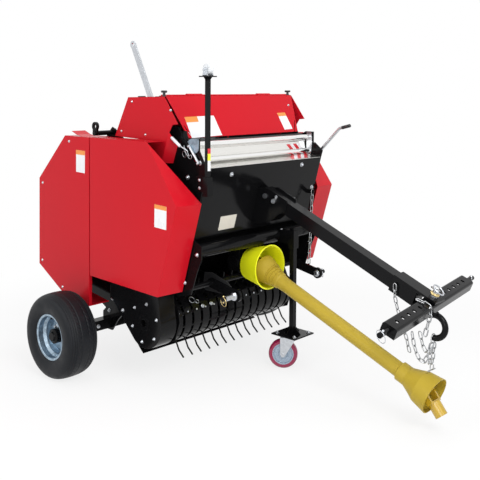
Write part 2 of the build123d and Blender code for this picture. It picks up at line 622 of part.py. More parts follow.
def make_drawbar():
    local = drawbar_frame()
    pivot = (local * Pos(PIVOT_IN, 0, 0)).position
    lock = (local * Pos(LOCK_IN, 0, LOCK_UP)).position
    half = DRAWBAR_SECTION / 2 + FIT
    cheek_end = half + HEAD_WALL
    rear = [(panel_front(HEAD_LOW_Z), HEAD_LOW_Z), (panel_front(PANEL_FOLD[1]), PANEL_FOLD[1]),
            (panel_front(HEAD_TOP_Z), HEAD_TOP_Z)]
    head = slab(rear + [(735, HEAD_TOP_Z + 5), (848, 866), (838, 812), (801, 800), (745, 759), (675, HEAD_LOW_Z - 3)],
                -cheek_end, cheek_end)
    head -= slab([(rear[0][0] + HEAD_WALL, 600), (rear[0][0] + HEAD_WALL, HEAD_LOW_Z),
                  (rear[1][0] + HEAD_WALL, PANEL_FOLD[1]), (rear[2][0] + HEAD_WALL, 950), (900, 950), (900, 600)],
                 -half, half)
    holes = rod_y(pivot.X, pivot.Z, PIVOT_R + FIT, -cheek_end - 1, cheek_end + 1)
    holes += rod_y(lock.X, lock.Z, LOCK_R + FIT, -cheek_end - 1, cheek_end + 1)
    parts["drawbar_head"] = head - holes
    parts["drawbar_pin"] = Compound([rod_y(pivot.X, pivot.Z, PIVOT_R, -PIVOT_HALF, PIVOT_HALF),
                                     rod_y(lock.X, lock.Z, LOCK_R, -LOCK_HALF, LOCK_HALF)])
    bar_end = DRAWBAR_LENGTH - DRAWBAR_SHORT
    bore = DRAWBAR_SECTION - 2 * DRAWBAR_WALL
    bar = Pos(bar_end / 2, 0, 0) * (Box(bar_end, DRAWBAR_SECTION, DRAWBAR_SECTION) - Box(bar_end + 2, bore, bore))
    parts["drawbar"] = local * bar - holes


def make_hitch():
    local = drawbar_frame()
    inner = DRAWBAR_SECTION + 2 * FIT
    outer = inner + 2 * SLEEVE_WALL
    jaw_start = DRAWBAR_LENGTH + SLEEVE_AHEAD
    sleeve = Pos(jaw_start - SLEEVE_LENGTH / 2, 0, 0) * (
        Box(SLEEVE_LENGTH, outer, outer) - Box(SLEEVE_LENGTH + 10, inner, inner))
    sleeve += Pos(jaw_start - 4, 0, 0) * Box(8, inner + 2, inner + 2)
    jaw_z = outer / 2 - JAW_PLATE / 2
    for side in (-1, 1):
        sleeve += Pos(jaw_start - 8 + JAW_LENGTH / 2, 0, side * jaw_z) * Box(JAW_LENGTH, outer, JAW_PLATE)
    sleeve = local * (sleeve - Pos(PIN_U, 0, 0) * Cylinder(HITCH_PIN_R + FIT, 2 * outer))
    parts["hitch_sleeve"] = sleeve + rod_y(KEEPER_X, KEEPER_Z - 3.3, 3.5, -KEEPER_Y - 6, 1 - outer / 2)
    pin = Pos(PIN_U, 0, 14) * Cylinder(HITCH_PIN_R, 2 * outer - 40)
    pin += Pos(PIN_U, 0, outer / 2 + FIT + 4) * Cylinder(HITCH_PIN_R + 6, 8)
    parts["hitch_pin"] = local * pin
    wide, tall, end = CROSSBAR_WIDTH, CROSSBAR_HEIGHT, CROSSBAR_HALF
    bar = Box(wide, 2 * end, tall)
    bar = fillet(bar.edges().filter_by(Axis.Y).group_by(Axis.Z)[-1], 10)
    bar -= Pos(0, 0, -PLATE) * Box(wide - 2 * PLATE, 2 * (end - 10), tall)
    bar += Cylinder(HITCH_PIN_R + 8, tall)
    bar -= Cylinder(HITCH_PIN_R + FIT, 2 * tall)
    for side in (-1, 1):
        for i in range(CROSSBAR_HOLES):
            bar -= Pos(0, side * (end - 55 - 50 * i), tall / 2) * Cylinder(9, 2 * PLATE + 2)
        bar += Pos(0, side * (end + LINK_PIN_LENGTH / 2 - 5), 4) * Rot(90, 0, 0) * Cylinder(
            LINK_PIN_R, LINK_PIN_LENGTH + 10)
    parts["hitch_bar"] = local * Pos(PIN_U, 0, 0) * Rot(0, 0, CROSSBAR_SKEW_DEG) * bar
    path = Plane.XZ * CenterArc((HOOK_X, HOOK_Z), HOOK_R, 118, -215)
    section = Plane(origin=path @ 0, z_dir=path % 0) * Circle(HOOK_ROD_R)
    hook = sweep(section, path=path)
    tip = jaw_start - 8 + JAW_LENGTH + FIT
    above = Pos(tip - 100, 0, 100 - outer / 2 - FIT) * Box(200, 200, 200)
    above += Pos(tip - 90, 0, 100 - CROSSBAR_HEIGHT / 2 - RUN_GAP) * Box(200, 200, 200)
    above += Pos(PIN_U, 0, 0) * Cylinder(HITCH_PIN_R + FIT, 2 * outer)
    parts["hitch_hook"] = hook - local * above


def make_drive_shaft():
    frame = shaft_frame()
    # Outside of the plastic shield from its rear end forward: distance along the shaft, radius
    steps = ((62, 46), (75, 52), (100, 52), (100, 48), (116, 48), (116, 44), (132, 44), (132, 40),
             (150, 40), (156, 36), (190, SHIELD_R), (860, SHIELD_R), (865, 42), (905, 42), (940, 56),
             (970, 70), (1037, BELL_R))
    outside = [(r, u) for u, r in steps]
    inside = [(BELL_R - SHIELD_WALL, 1037), (66, 970), (52, 945), (36, 905), (SHIELD_R - SHIELD_WALL, 870),
              (SHIELD_R - SHIELD_WALL, 190), (32, 156), (36, 128), (42, 98), (46, 78), (42, 66), (22.3, 66)]
    shield = revolve(make_face(Plane.XZ * Polyline((22.3, 62), *outside, *inside, close=True)), axis=Axis.Z)
    parts["shaft_shield"] = frame * shield
    inner = EAR_OUT - EAR_THICK
    ear_mid = (EAR_OUT + inner) / 2
    tube = Pos(0, 0, FRONT_JOINT_U / 2) * Cylinder(22, FRONT_JOINT_U - 90)
    for u, turn in ((0, 1), (FRONT_JOINT_U, -1)):
        tube += Pos(0, 0, u + turn * 45) * Box(EAR_WIDTH, 2 * EAR_OUT, 10)
        for side in (-1, 1):
            tube += Pos(0, side * ear_mid, u + turn * 20) * Box(EAR_WIDTH, EAR_THICK, 40)
            tube += Pos(0, side * ear_mid, u) * Rot(90, 0, 0) * Cylinder(EAR_WIDTH / 2, EAR_THICK)
    tube -= Rot(90, 0, 0) * Cylinder(CROSS_R + FIT, 2 * EAR_OUT + 2)
    tube += Pos(0, 0, FRONT_JOINT_U) * Rot(90, 0, 0) * Cylinder(CROSS_R, 2 * inner + 2)
    tube += Pos(0, 0, FRONT_JOINT_U) * Rot(0, 90, 0) * Cylinder(CROSS_R, 2 * EAR_OUT)
    parts["shaft_drive"] = frame * tube
    yoke = Pos(0, 0, 49) * Box(2 * EAR_OUT, EAR_WIDTH, 10) + Pos(0, 0, 79) * Cylinder(27, 60)
    for side in (-1, 1):
        yoke += Pos(side * ear_mid, 0, 27) * Box(EAR_THICK, EAR_WIDTH, 54)
        yoke += Pos(side * ear_mid, 0, 0) * Rot(0, 90, 0) * Cylinder(EAR_WIDTH / 2, EAR_THICK)
    yoke -= Pos(0, 0, 90) * Cylinder(YOKE_BORE_R, 80)
    yoke -= Rot(0, 90, 0) * Cylinder(CROSS_R + FIT, 2 * EAR_OUT + 2)
    parts["shaft_yoke"] = frame * Pos(0, 0, FRONT_JOINT_U) * Rot(YOKE_DROOP_DEG, 0, 0) * yoke


def tangent_deg(point, radius, side):
    """Angle on a circle about the reel at which a line from a point touches it."""
    dx, dz = REEL_X - point[0], REEL_Z - point[1]
    lean = math.degrees(math.atan2(dz, dx))
    return lean + side * (90 + math.degrees(math.asin(radius / math.hypot(dx, dz))))


def make_pickup():
    centre = (REEL_X, REEL_Z)
    side_plate = slab(
        [(140, 500), (330, 500), (400, 428), (REEL_X + BAND_R, REEL_Z + 60), (REEL_X + BAND_R + 8, REEL_Z),
         (REEL_X + 90, REEL_Z - 90), (REEL_X, REEL_Z - BAND_R - 8), (300, 185), (170, 215), (140, 300)],
        -INSIDE_Y, -INSIDE_Y + 5)
    side_plate -= rod_y(REEL_X, REEL_Z, REEL_SHAFT_R + FIT, -INSIDE_Y - 1, -INSIDE_Y + 6)
    pair("pickup_side", side_plate)
    low_deg = tangent_deg(CASE_REAR, CASE_R, -1)
    low = (REEL_X + CASE_R * math.cos(math.radians(low_deg)), REEL_Z + CASE_R * math.sin(math.radians(low_deg)))
    case = slab_face(
        make_face(Polyline(CASE_REAR, low, centre, (REEL_X + CASE_R, REEL_Z), (REEL_X + CASE_R - 30, 480),
                           (CASE_REAR[0] + 5, 480), close=True))
        + Pos(REEL_X, REEL_Z) * Circle(CASE_R), -CASE_OUT_Y, -PLATE_OUT_Y - CASE_IN_GAP)
    case += rod_y(REEL_X, REEL_Z, 34, -CASE_OUT_Y - 6, -CASE_OUT_Y + 1)
    case -= rod_y(REEL_X, REEL_Z, REEL_SHAFT_R + FIT, -CASE_OUT_Y - 7, -PLATE_OUT_Y)
    parts["pickup_case"] = case
    make_reel()
    top_deg = tangent_deg(BAND_TOP, BAND_R, 1)
    end_deg = tangent_deg(BAND_LOW, BAND_R, -1)
    arc = CenterArc(centre, BAND_R, top_deg, end_deg - top_deg)
    line = Wire([Line(BAND_TOP, arc @ 0), arc, Line(arc @ 1, BAND_LOW)])
    section = make_face(offset(line, BAND_SHEET / 2, side=Side.BOTH))
    inside = INSIDE_Y - 5 - FIT
    rails = [rod_y(*BAND_LOW, 9, -inside, inside),
             block(BAND_TOP[0] - 15, BAND_TOP[0] + 10, -inside, inside, BAND_TOP[1] - 12, BAND_TOP[1] + 4)]
    for i in range(TINE_COUNT + 1):
        y = (i - TINE_COUNT / 2) * TINE_PITCH
        reach = (TINE_PITCH - BAND_GAP) / 2
        rails.append(slab_face(section, max(y - reach, -inside), min(y + reach, inside)))
    parts["pickup_bands"] = rails[0].fuse(*rails[1:])


def make_reel():
    """Driven shaft with three tine bars on spiders; each row of tines passes between the bands."""
    reel = rod_y(REEL_X, REEL_Z, REEL_SHAFT_R, -CASE_OUT_Y + 40, INSIDE_Y - 1)
    half = TINE_WIRE / 2
    wire = Polyline((TINE_BAR_R, 0), (TINE_BEND_R, 0), (TINE_TIP_R, TINE_TIP_LEAD))
    tine = slab_face(make_face(offset(wire, half, side=Side.BOTH, kind=Kind.INTERSECTION)), -half, half)
    pieces = []
    for row in range(TINE_ROWS):
        angle = TINE_FIRST_DEG + row * 360 / TINE_ROWS
        turn = Pos(REEL_X, 0, REEL_Z) * Rot(0, -angle, 0)
        pieces.append(turn * rod_y(TINE_BAR_R, 0, 10, -390, 390))
        for y in (-385, 0, 385):
            pieces.append(turn * Pos(TINE_BAR_R / 2, y, 0) * Box(TINE_BAR_R, 8, 24))
        for i in range(TINE_COUNT):
            y = (i - (TINE_COUNT - 1) / 2) * TINE_PITCH
            pieces.append(turn * Pos(0, y, 0) * tine)
    parts["pickup_reel"] = reel.fuse(*pieces)


def make_guard_and_arms():
    guard_y = 6 + FIT - ARM_NEAR_Y
    guard = slab([(500, 440), (510, 511), (560, 518), (663, 488), (692, 466), (702, 446), (690, 430), (520, 425)],
                 guard_y, guard_y + SHEET)
    parts["crop_guard"] = guard - rod_y(ARM_PIVOT_X, ARM_PIVOT_Z, 22 + FIT, guard_y - 1, guard_y + 4)
    bar = rod_y(ARM_PIVOT_X, ARM_PIVOT_Z, ARM_BAR_R, -INSIDE_Y, INSIDE_Y)
    lean = math.atan2(ARM_END_Z - ARM_PIVOT_Z, ARM_END_X - ARM_PIVOT_X)
    up_x, up_z = -math.sin(lean) * 22, math.cos(lean) * 22
    sides = [(ARM_PIVOT_X + up_x, ARM_PIVOT_Z + up_z), (ARM_END_X + up_x, ARM_END_Z + up_z),
             (ARM_END_X - up_x, ARM_END_Z - up_z), (ARM_PIVOT_X - up_x, ARM_PIVOT_Z - up_z)]
    for y, y0, y1 in ((-ARM_NEAR_Y, -345, -ARM_NEAR_Y + 14), (ARM_FAR_Y, ARM_FAR_Y - 14, 405)):
        bar += slab(sides, y - 6, y + 6)
        bar += rod_y(ARM_PIVOT_X, ARM_PIVOT_Z, 22, y - 6, y + 6)
        bar += rod_y(ARM_END_X, ARM_END_Z, ARM_END_R, y - 6, y + 6)
        bar += rod_y(ARM_END_X, ARM_END_Z, LINK_PIN_R, y0, y1)
    parts["link_arms"] = bar


def gussets(x, y, z, section, reach, height):
    """Four triangular gussets between a square post and its base plate."""
    half = section / 2
    outline = [(half - 1, z), (half + reach, z), (half - 1, z + height)]
    rib = slab(outline, -2, 2)
    ribs = [Pos(x, y, 0) * Rot(0, 0, turn) * rib for turn in (0, 90, 180, 270)]
    return ribs


def make_stand():
    outer = LEG_SECTION / 2 + SOCKET_WALL
    hole = LEG_SECTION / 2 + FIT
    socket = block(LEG_X - outer, LEG_X + outer, LEG_Y - outer, LEG_Y + outer, SOCKET_LOW_Z, SOCKET_TOP_Z)
    socket += block(CROSS_TUBE_X, LEG_X - outer, LEG_Y - 15, LEG_Y + 15, CROSS_TUBE_Z - 32, CROSS_TUBE_Z + 32)
    socket -= block(LEG_X - hole, LEG_X + hole, LEG_Y - hole, LEG_Y + hole, SOCKET_LOW_Z - 1, SOCKET_TOP_Z + 1)
    parts["stand_socket"] = socket - rod_y(CROSS_TUBE_X, CROSS_TUBE_Z, CROSS_TUBE_R + FIT, LEG_Y - 20, LEG_Y + 20)
    half, plate = LEG_SECTION / 2, CASTER_PLATE / 2
    leg = block(LEG_X - half, LEG_X + half, LEG_Y - half, LEG_Y + half, CASTER_TOP_Z, LEG_TOP_Z)
    base = block(LEG_X - plate, LEG_X + plate, LEG_Y - plate, LEG_Y + plate, CASTER_TOP_Z, CASTER_TOP_Z + PLATE)
    parts["stand_leg"] = leg.fuse(base, *gussets(LEG_X, LEG_Y, CASTER_TOP_Z + PLATE - 1, LEG_SECTION, GUSSET, GUSSET))
    make_caster()


def make_caster():
    swivel = Pos(LEG_X, LEG_Y, 0) * Rot(0, 0, CASTER_TURN_DEG)
    top = CASTER_TOP_Z - FIT
    cheek_in = CASTER_W / 2 + RUN_GAP
    bridge = top - 14
    fork = rod_z(0, 0, top - 5, top, 38) + rod_z(0, 0, bridge, top, 30)
    fork += block(-20, CASTER_TRAIL + 14, -cheek_in - 3, cheek_in + 3, bridge - 5, bridge + 1)
    for side in (-1, 1):
        y0, y1 = sorted((side * cheek_in, side * (cheek_in + 3)))
        fork += slab([(-20, bridge), (CASTER_TRAIL + 14, bridge), (CASTER_TRAIL + 14, CASTER_R),
                      (CASTER_TRAIL + 6, CASTER_R - 13), (CASTER_TRAIL - 6, CASTER_R - 13),
                      (CASTER_TRAIL - 14, CASTER_R)], y0, y1)
    fork += rod_y(CASTER_TRAIL, CASTER_R, CASTER_PIN_R, -cheek_in - 8, cheek_in + 8)
    parts["caster_fork"] = swivel * fork
    half = CASTER_W / 2
    hub_r = CASTER_R * 0.62
    wheel = turned([
        (CASTER_PIN_R + FIT, -half), (20, -half), (24, -half + 8), (hub_r, -half + 8), (hub_r + 3, -half + 3),
        (CASTER_R - 7, -half + 1), (CASTER_R, -half + 9), (CASTER_R, half - 9), (CASTER_R - 7, half - 1),
        (hub_r + 3, half - 3), (hub_r, half - 8), (24, half - 8), (20, half), (CASTER_PIN_R + FIT, half)])
    parts["caster_wheel"] = swivel * Pos(CASTER_TRAIL, 0, CASTER_R) * wheel


def make_spare():
    """Stand leg stowed upside down in its socket on the right-hand side plate."""
    half = SPARE_SECTION / 2
    outer = half + FIT + SOCKET_WALL
    spare_y = -SEAT_Y - outer
    low_z = SPARE_LOW_Z - 10
    plate = SPARE_PLATE / 2
    pole = block(SPARE_X - half, SPARE_X + half, spare_y - half, spare_y + half, SPARE_LOW_Z, SPARE_TOP_Z)
    pole += block(SPARE_X - plate, SPARE_X + plate, spare_y - plate, spare_y + plate, SPARE_TOP_Z, SPARE_TOP_Z + 5)
    wheel_z = SPARE_TOP_Z + 5 + SPARE_WHEEL_R + RUN_GAP
    cheek = SPARE_WHEEL_W / 2 + RUN_GAP
    for y0 in (-cheek - 3, cheek):
        pole += slab([(SPARE_X - 16, SPARE_TOP_Z + 4), (SPARE_X + 16, SPARE_TOP_Z + 4), (SPARE_X + 7, wheel_z + 7),
                      (SPARE_X - 7, wheel_z + 7)], spare_y + y0, spare_y + y0 + 3)
    pole += rod_y(SPARE_X, wheel_z, 4, spare_y - cheek - 6, spare_y + cheek + 6)
    ribs = [Pos(0, 0, 2 * SPARE_TOP_Z) * mirror(rib, Plane.XY)
            for rib in gussets(SPARE_X, spare_y, SPARE_TOP_Z - 1, SPARE_SECTION, 17, 20)]
    parts["spare_leg"] = pole.fuse(*ribs)
    parts["spare_wheel"] = (
        rod_y(SPARE_X, wheel_z, SPARE_WHEEL_R, spare_y - SPARE_WHEEL_W / 2, spare_y + SPARE_WHEEL_W / 2)
        - rod_y(SPARE_X, wheel_z, 4 + FIT, spare_y - SPARE_WHEEL_W, spare_y + SPARE_WHEEL_W))
    socket = block(SPARE_X - outer, SPARE_X + outer, spare_y - outer, spare_y + outer, low_z, low_z + 85)
    socket += block(640, SPARE_X - outer + 1, -SEAT_Y - SOCKET_WALL, -SEAT_Y, low_z + 15, low_z + 85)
    hole = half + FIT
    parts["spare_socket"] = socket - block(SPARE_X - hole, SPARE_X + hole, spare_y - hole, spare_y + hole,
                                           SPARE_LOW_Z - FIT, low_z + 86)


def make_levers():
    low, high = (459, 1109), (207, 1600)
    lever = slab([(low[0] - 18, low[1]), (low[0] + 18, low[1]), (high[0] + 18, high[1]), (high[0] - 18, high[1])],
                 -LEVER_Y - 4, -LEVER_Y + 4)
    lever += rod_y(low[0], low[1], 18, -LEVER_Y - 4, -LEVER_Y + 4) + rod_y(high[0], high[1], 18, -LEVER_Y - 4,
                                                                           -LEVER_Y + 4)
    lever += rod_y(low[0], low[1], 14, -LEVER_Y, -SEAT_Y)
    parts["tension_lever"] = lever - rod_y(high[0], high[1], 8, -LEVER_Y - 5, -LEVER_Y + 5)
    arm_y = 440
    path = Wire([Line((676, arm_y, 1063), (796, arm_y, 1182)),
                 ThreePointArc((796, arm_y, 1182), (804.5, arm_y, 1188), (816, arm_y, 1191)),
                 Line((816, arm_y, 1191), (859, arm_y, 1202))])
    crank = sweep(Plane(origin=path @ 0, z_dir=path % 0) * Circle(8), path=path)
    parts["crank"] = crank + rod_y(676, 1063, 10, SEAT_Y, arm_y + 10)


def link(centre, along, across, length):
    """Chain link of square stock, whose window runs along the chain."""
    frame = Plane(origin=centre, x_dir=along, z_dir=along.cross(across))
    outer = Box(length + 2 * LINK_WIRE, LINK_INNER + 2 * LINK_WIRE, LINK_WIRE)
    return frame * (outer - Box(length, LINK_INNER, 2 * LINK_WIRE))


def chain(points, across):
    """Links along a hanging line, each rolled a quarter turn from the one before."""
    line = Polyline(*points)
    count = math.ceil(line.length / LINK_PITCH)
    knots = [line @ (i / count) for i in range(count + 1)]
    links = []
    for i in range(count):
        along = (knots[i + 1] - knots[i]).normalized()
        side = (across - along * across.dot(along)).normalized()
        if i % 2:
            side = along.cross(side)
        length = (knots[i + 1] - knots[i]).length + LINK_PLAY
        links.append(link((knots[i] + knots[i + 1]) / 2, along, side, length))
    return links


def make_chains():
    forward = Vector(1, 0, 0)
    sideways = Vector(0, 1, 0)
    # Where the chain hangs: forward and down from its peg, and distance from the middle
    hang = ((0, 0, 47), (2, 63, 47), (12, 113, 38), (26, 168, 26), (38, 228, 12), (46, 286, 0))
    keeper = chain([(KEEPER_X + ahead, -y, KEEPER_Z - drop) for ahead, drop, y in hang], forward)
    ring_x, ring_z = HOOK_X - 6, HOOK_Z - HOOK_R - 4.9
    loops = [Pos(ring_x, 0, ring_z) * (Box(LINK_WIRE, 40, 46) - Box(2 * LINK_WIRE, 32, 38))]
    top = ring_z - 19 + LINK_PLAY / 2
    for y, drop in ((-11, 84), (11, 112)):
        loops += chain([(ring_x, y, top), (ring_x - 12, y, top - drop)], forward)
    far = chain([(ARM_CHAIN_X, ARM_FAR_Y, ARM_CHAIN_Z), (ARM_CHAIN_X - 18, ARM_FAR_Y, 479.0)], sideways)
    parts["chains"] = Compound(keeper + loops + far)


make_wheels()
make_axle()
make_chamber()
make_gate_covers()
make_doors()
make_net_box()
make_front()
make_drawbar()
make_hitch()
make_drive_shaft()
make_pickup()
make_guard_and_arms()
make_stand()
make_spare()
make_levers()
make_chains()

os.makedirs("parts", exist_ok=True)
for name, shape in parts.items():
    export_step(Pos(-ORIGIN_X, 0, 0) * shape, f"parts/{name}.step")
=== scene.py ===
import json
import math

import bpy
from mathutils import Matrix, Vector
from mathutils.bvhtree import BVHTree


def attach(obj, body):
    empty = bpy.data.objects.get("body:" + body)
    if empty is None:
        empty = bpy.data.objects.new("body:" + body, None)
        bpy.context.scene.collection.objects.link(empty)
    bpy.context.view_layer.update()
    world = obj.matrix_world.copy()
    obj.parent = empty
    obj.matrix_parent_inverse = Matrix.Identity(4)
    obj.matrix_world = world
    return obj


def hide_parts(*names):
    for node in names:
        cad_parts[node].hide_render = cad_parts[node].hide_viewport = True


# Camera, from the photograph's vanishing points; lengths in metres
CAMERA_PLACE = (2.5205, -2.8093, 1.4004)
CAMERA_AZIMUTH = math.radians(43.15)
CAMERA_PITCH = math.radians(1.92)
CAMERA_ROLL = math.radians(0.29)
CAMERA_LENS = 57.9
CAMERA_SENSOR = 36.0
CAMERA_SHIFT_Y = -0.266
PHOTO_SIDE = 480

FLOOR_COLOUR = (0.86, 0.86, 0.86)
FLOOR_SIZE = 60.0
FLOOR_NEAR = 1.2
FLOOR_FAR = 2.6
FLOOR_GLOW = 0.80

# Lamps: name, place, target, watts, width and height of the lit square, in metres
SKY_STRENGTH = 0.62
LAMPS = (("key", (3.6, -1.4, 3.6), (0.2, 0, 0.6), 120, 2.4, 2.0),
         ("side", (-0.8, -4.6, 2.4), (0, 0, 0.7), 62, 3.4, 2.0),
         ("top", (0.2, 0.3, 4.6), (0, 0, 0.4), 60, 3.2, 3.2),
         ("fill", (2.7, -3.0, 1.1), (0.2, 0, 0.5), 28, 1.8, 1.6))

# Every length below is in millimetres, measured from the wheel axle on the floor
MM = 0.001
AXLE_X = 622.46
PLATE_Y = 418.0

TYRE_Y = 707.0
TYRE_Z = 203.0
TYRE_R = 203.0
TYRE_STEPS = 240
SECTION_STEPS = 150
TREAD_EDGE = 180.0

# The drawbar's line: start, fall, and the hitch pin's place along it
BAR_START = (690.0, 888.0)
BAR_COS, BAR_SIN = 0.92288, 0.385087
PIN_U = 963.7
CROSSBAR_SKEW = math.radians(6)
CROSSBAR_PIN_Y = 429.0
CASTER_AXIS = (0.587785, -0.809017, 0)

# The drive shaft's rear joint and its fall
JOINT = (640.0, 0.0, 527.0)
SHAFT_COS, SHAFT_SIN = math.cos(math.radians(21.7)), math.sin(math.radians(21.7))

# The pickup's reel, and the sheet behind it, outside the sweep of its tines
REEL_X, REEL_Z = 395.0, 300.0
SHEET_INNER, SHEET_OUTER = 249.0, 252.0
SHEET_HALF = 406.0
SHEET_TOP = 192.0

# Chain links
LINK_PITCH = 28.0
LINK_WIRE = 4.0
LINK_INNER = 8.0
LINK_PLAY = 0.8

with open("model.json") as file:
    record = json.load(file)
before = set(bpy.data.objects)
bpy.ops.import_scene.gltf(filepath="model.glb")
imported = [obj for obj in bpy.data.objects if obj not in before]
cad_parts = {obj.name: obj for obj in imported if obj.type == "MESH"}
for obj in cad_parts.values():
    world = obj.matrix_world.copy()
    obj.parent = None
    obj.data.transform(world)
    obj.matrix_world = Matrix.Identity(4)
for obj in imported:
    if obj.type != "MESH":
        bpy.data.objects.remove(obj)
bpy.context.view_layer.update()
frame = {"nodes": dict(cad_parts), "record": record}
nodes = frame["nodes"]
materials = {}
trees = {}


def at(x, y, z):
    """A point in the axle's millimetres, as metres in the row frame."""
    return Vector(((x - AXLE_X) * MM, y * MM, z * MM))


def back(point):
    """A point in metres in the row frame, as the axle's millimetres."""
    return Vector((point[0] / MM + AXLE_X, point[1] / MM, point[2] / MM))


def on_bar(u, y, w):
    """A point along, across and above the drawbar's line."""
    return Vector((BAR_START[0] + u * BAR_COS + w * BAR_SIN, y, BAR_START[1] - u * BAR_SIN + w * BAR_COS))


# Camera, floor and light

def camera_axes():
    sin_a, cos_a = math.sin(CAMERA_AZIMUTH), math.cos(CAMERA_AZIMUTH)
    sin_p, cos_p = math.sin(CAMERA_PITCH), math.cos(CAMERA_PITCH)
    forward = Vector((-sin_a * cos_p, cos_a * cos_p, -sin_p))
    level_right = Vector((cos_a, sin_a, 0.0))
    level_up = level_right.cross(forward)
    right = math.cos(CAMERA_ROLL) * level_right + math.sin(CAMERA_ROLL) * level_up
    up = math.cos(CAMERA_ROLL) * level_up - math.sin(CAMERA_ROLL) * level_right
    return right, up, forward


def make_camera():
    data = bpy.data.cameras.new("camera")
    data.sensor_fit = "HORIZONTAL"
    data.sensor_width = CAMERA_SENSOR
    data.lens = CAMERA_LENS
    data.shift_y = CAMERA_SHIFT_Y
    data.clip_end = 100.0
    camera = bpy.data.objects.new("camera", data)
    bpy.context.scene.collection.objects.link(camera)
    right, up, forward = camera_axes()
    turn = Matrix((right, up, -forward)).transposed()
    camera.matrix_world = Matrix.Translation(CAMERA_PLACE) @ turn.to_4x4()
    bpy.context.scene.camera = camera


def add_node(tree, kind, **values):
    node = tree.nodes.new(kind)
    for name, value in values.items():
        socket = name.replace("_", " ")
        node.inputs[socket].default_value = value
    return node


def mixed_colour(tree, factor, low, high):
    mix = tree.nodes.new("ShaderNodeMix")
    mix.data_type = "RGBA"
    mix.inputs[6].default_value = (*low, 1)
    mix.inputs[7].default_value = (*high, 1)
    tree.links.new(factor, mix.inputs[0])
    return mix.outputs[2]


def background_rays(tree):
    """1 for the rays that see the plain background: from the camera, by reflection or through glass."""
    path = tree.nodes.new("ShaderNodeLightPath")
    total = path.outputs["Is Camera Ray"]
    for name in ("Is Glossy Ray", "Is Transmission Ray"):
        larger = tree.nodes.new("ShaderNodeMath")
        larger.operation = "MAXIMUM"
        tree.links.new(total, larger.inputs[0])
        tree.links.new(path.outputs[name], larger.inputs[1])
        total = larger.outputs["Value"]
    return total


def make_floor():
    mesh = bpy.data.meshes.new("floor")
    half = FLOOR_SIZE / 2
    corners = [(-half, -half, 0), (half, -half, 0), (half, half, 0), (-half, half, 0)]
    mesh.from_pydata(corners, [], [(0, 1, 2, 3)])
    floor = bpy.data.objects.new("floor", mesh)
    bpy.context.scene.collection.objects.link(floor)
    material = bpy.data.materials.new("floor")
    material.use_nodes = True
    tree = material.node_tree
    shader = tree.nodes["Principled BSDF"]
    shader.inputs["Base Color"].default_value = (*FLOOR_COLOUR, 1)
    shader.inputs["Roughness"].default_value = 0.9
    shader.inputs["Specular IOR Level"].default_value = 0.1
    place = tree.nodes.new("ShaderNodeTexCoord")
    length = tree.nodes.new("ShaderNodeVectorMath")
    length.operation = "LENGTH"
    tree.links.new(place.outputs["Object"], length.inputs[0])
    reach = add_node(tree, "ShaderNodeMapRange", From_Min=FLOOR_NEAR, From_Max=FLOOR_FAR, To_Min=FLOOR_GLOW)
    reach.interpolation_type = "SMOOTHSTEP"
    tree.links.new(length.outputs["Value"], reach.inputs["Value"])
    glow = add_node(tree, "ShaderNodeEmission", Color=(1, 1, 1, 1), Strength=1.0)
    blend = tree.nodes.new("ShaderNodeMixShader")
    share = tree.nodes.new("ShaderNodeMath")
    share.operation = "MULTIPLY"
    tree.links.new(reach.outputs["Result"], share.inputs[0])
    tree.links.new(background_rays(tree), share.inputs[1])
    tree.links.new(share.outputs["Value"], blend.inputs["Fac"])
    tree.links.new(shader.outputs["BSDF"], blend.inputs[1])
    tree.links.new(glow.outputs["Emission"], blend.inputs[2])
    tree.links.new(blend.outputs["Shader"], tree.nodes["Material Output"].inputs["Surface"])
    mesh.materials.append(material)


def make_lamp(name, place, target, energy, width, height):
    lamp = bpy.data.lights.new(name, "AREA")
    lamp.shape = "RECTANGLE"
    lamp.energy = energy
    lamp.size = width
    lamp.size_y = height
    lamp.use_shadow = True
    holder = bpy.data.objects.new(name, lamp)
    holder.location = place
    holder.rotation_euler = (Vector(target) - Vector(place)).to_track_quat("-Z", "Y").to_euler()
    holder.visible_camera = False
    bpy.context.scene.collection.objects.link(holder)


def make_light():
    world = bpy.data.worlds.new("world")
    bpy.context.scene.world = world
    world.use_nodes = True
    tree = world.node_tree
    sky = tree.nodes["Background"]
    place = tree.nodes.new("ShaderNodeTexCoord")
    split = tree.nodes.new("ShaderNodeSeparateXYZ")
    tree.links.new(place.outputs["Generated"], split.inputs["Vector"])
    height = add_node(tree, "ShaderNodeMapRange", From_Min=-0.15, From_Max=0.85)
    tree.links.new(split.outputs["Z"], height.inputs["Value"])
    colour = mixed_colour(tree, height.outputs["Result"], (0.42, 0.43, 0.45), (0.98, 0.99, 1.0))
    tree.links.new(colour, sky.inputs["Color"])
    sky.inputs["Strength"].default_value = SKY_STRENGTH
    white = add_node(tree, "ShaderNodeBackground", Color=(1, 1, 1, 1), Strength=1.0)
    blend = tree.nodes.new("ShaderNodeMixShader")
    tree.links.new(background_rays(tree), blend.inputs["Fac"])
    tree.links.new(sky.outputs["Background"], blend.inputs[1])
    tree.links.new(white.outputs["Background"], blend.inputs[2])
    tree.links.new(blend.outputs["Shader"], tree.nodes["World Output"].inputs["Surface"])
    for lamp in LAMPS:
        make_lamp(*lamp)


# Materials

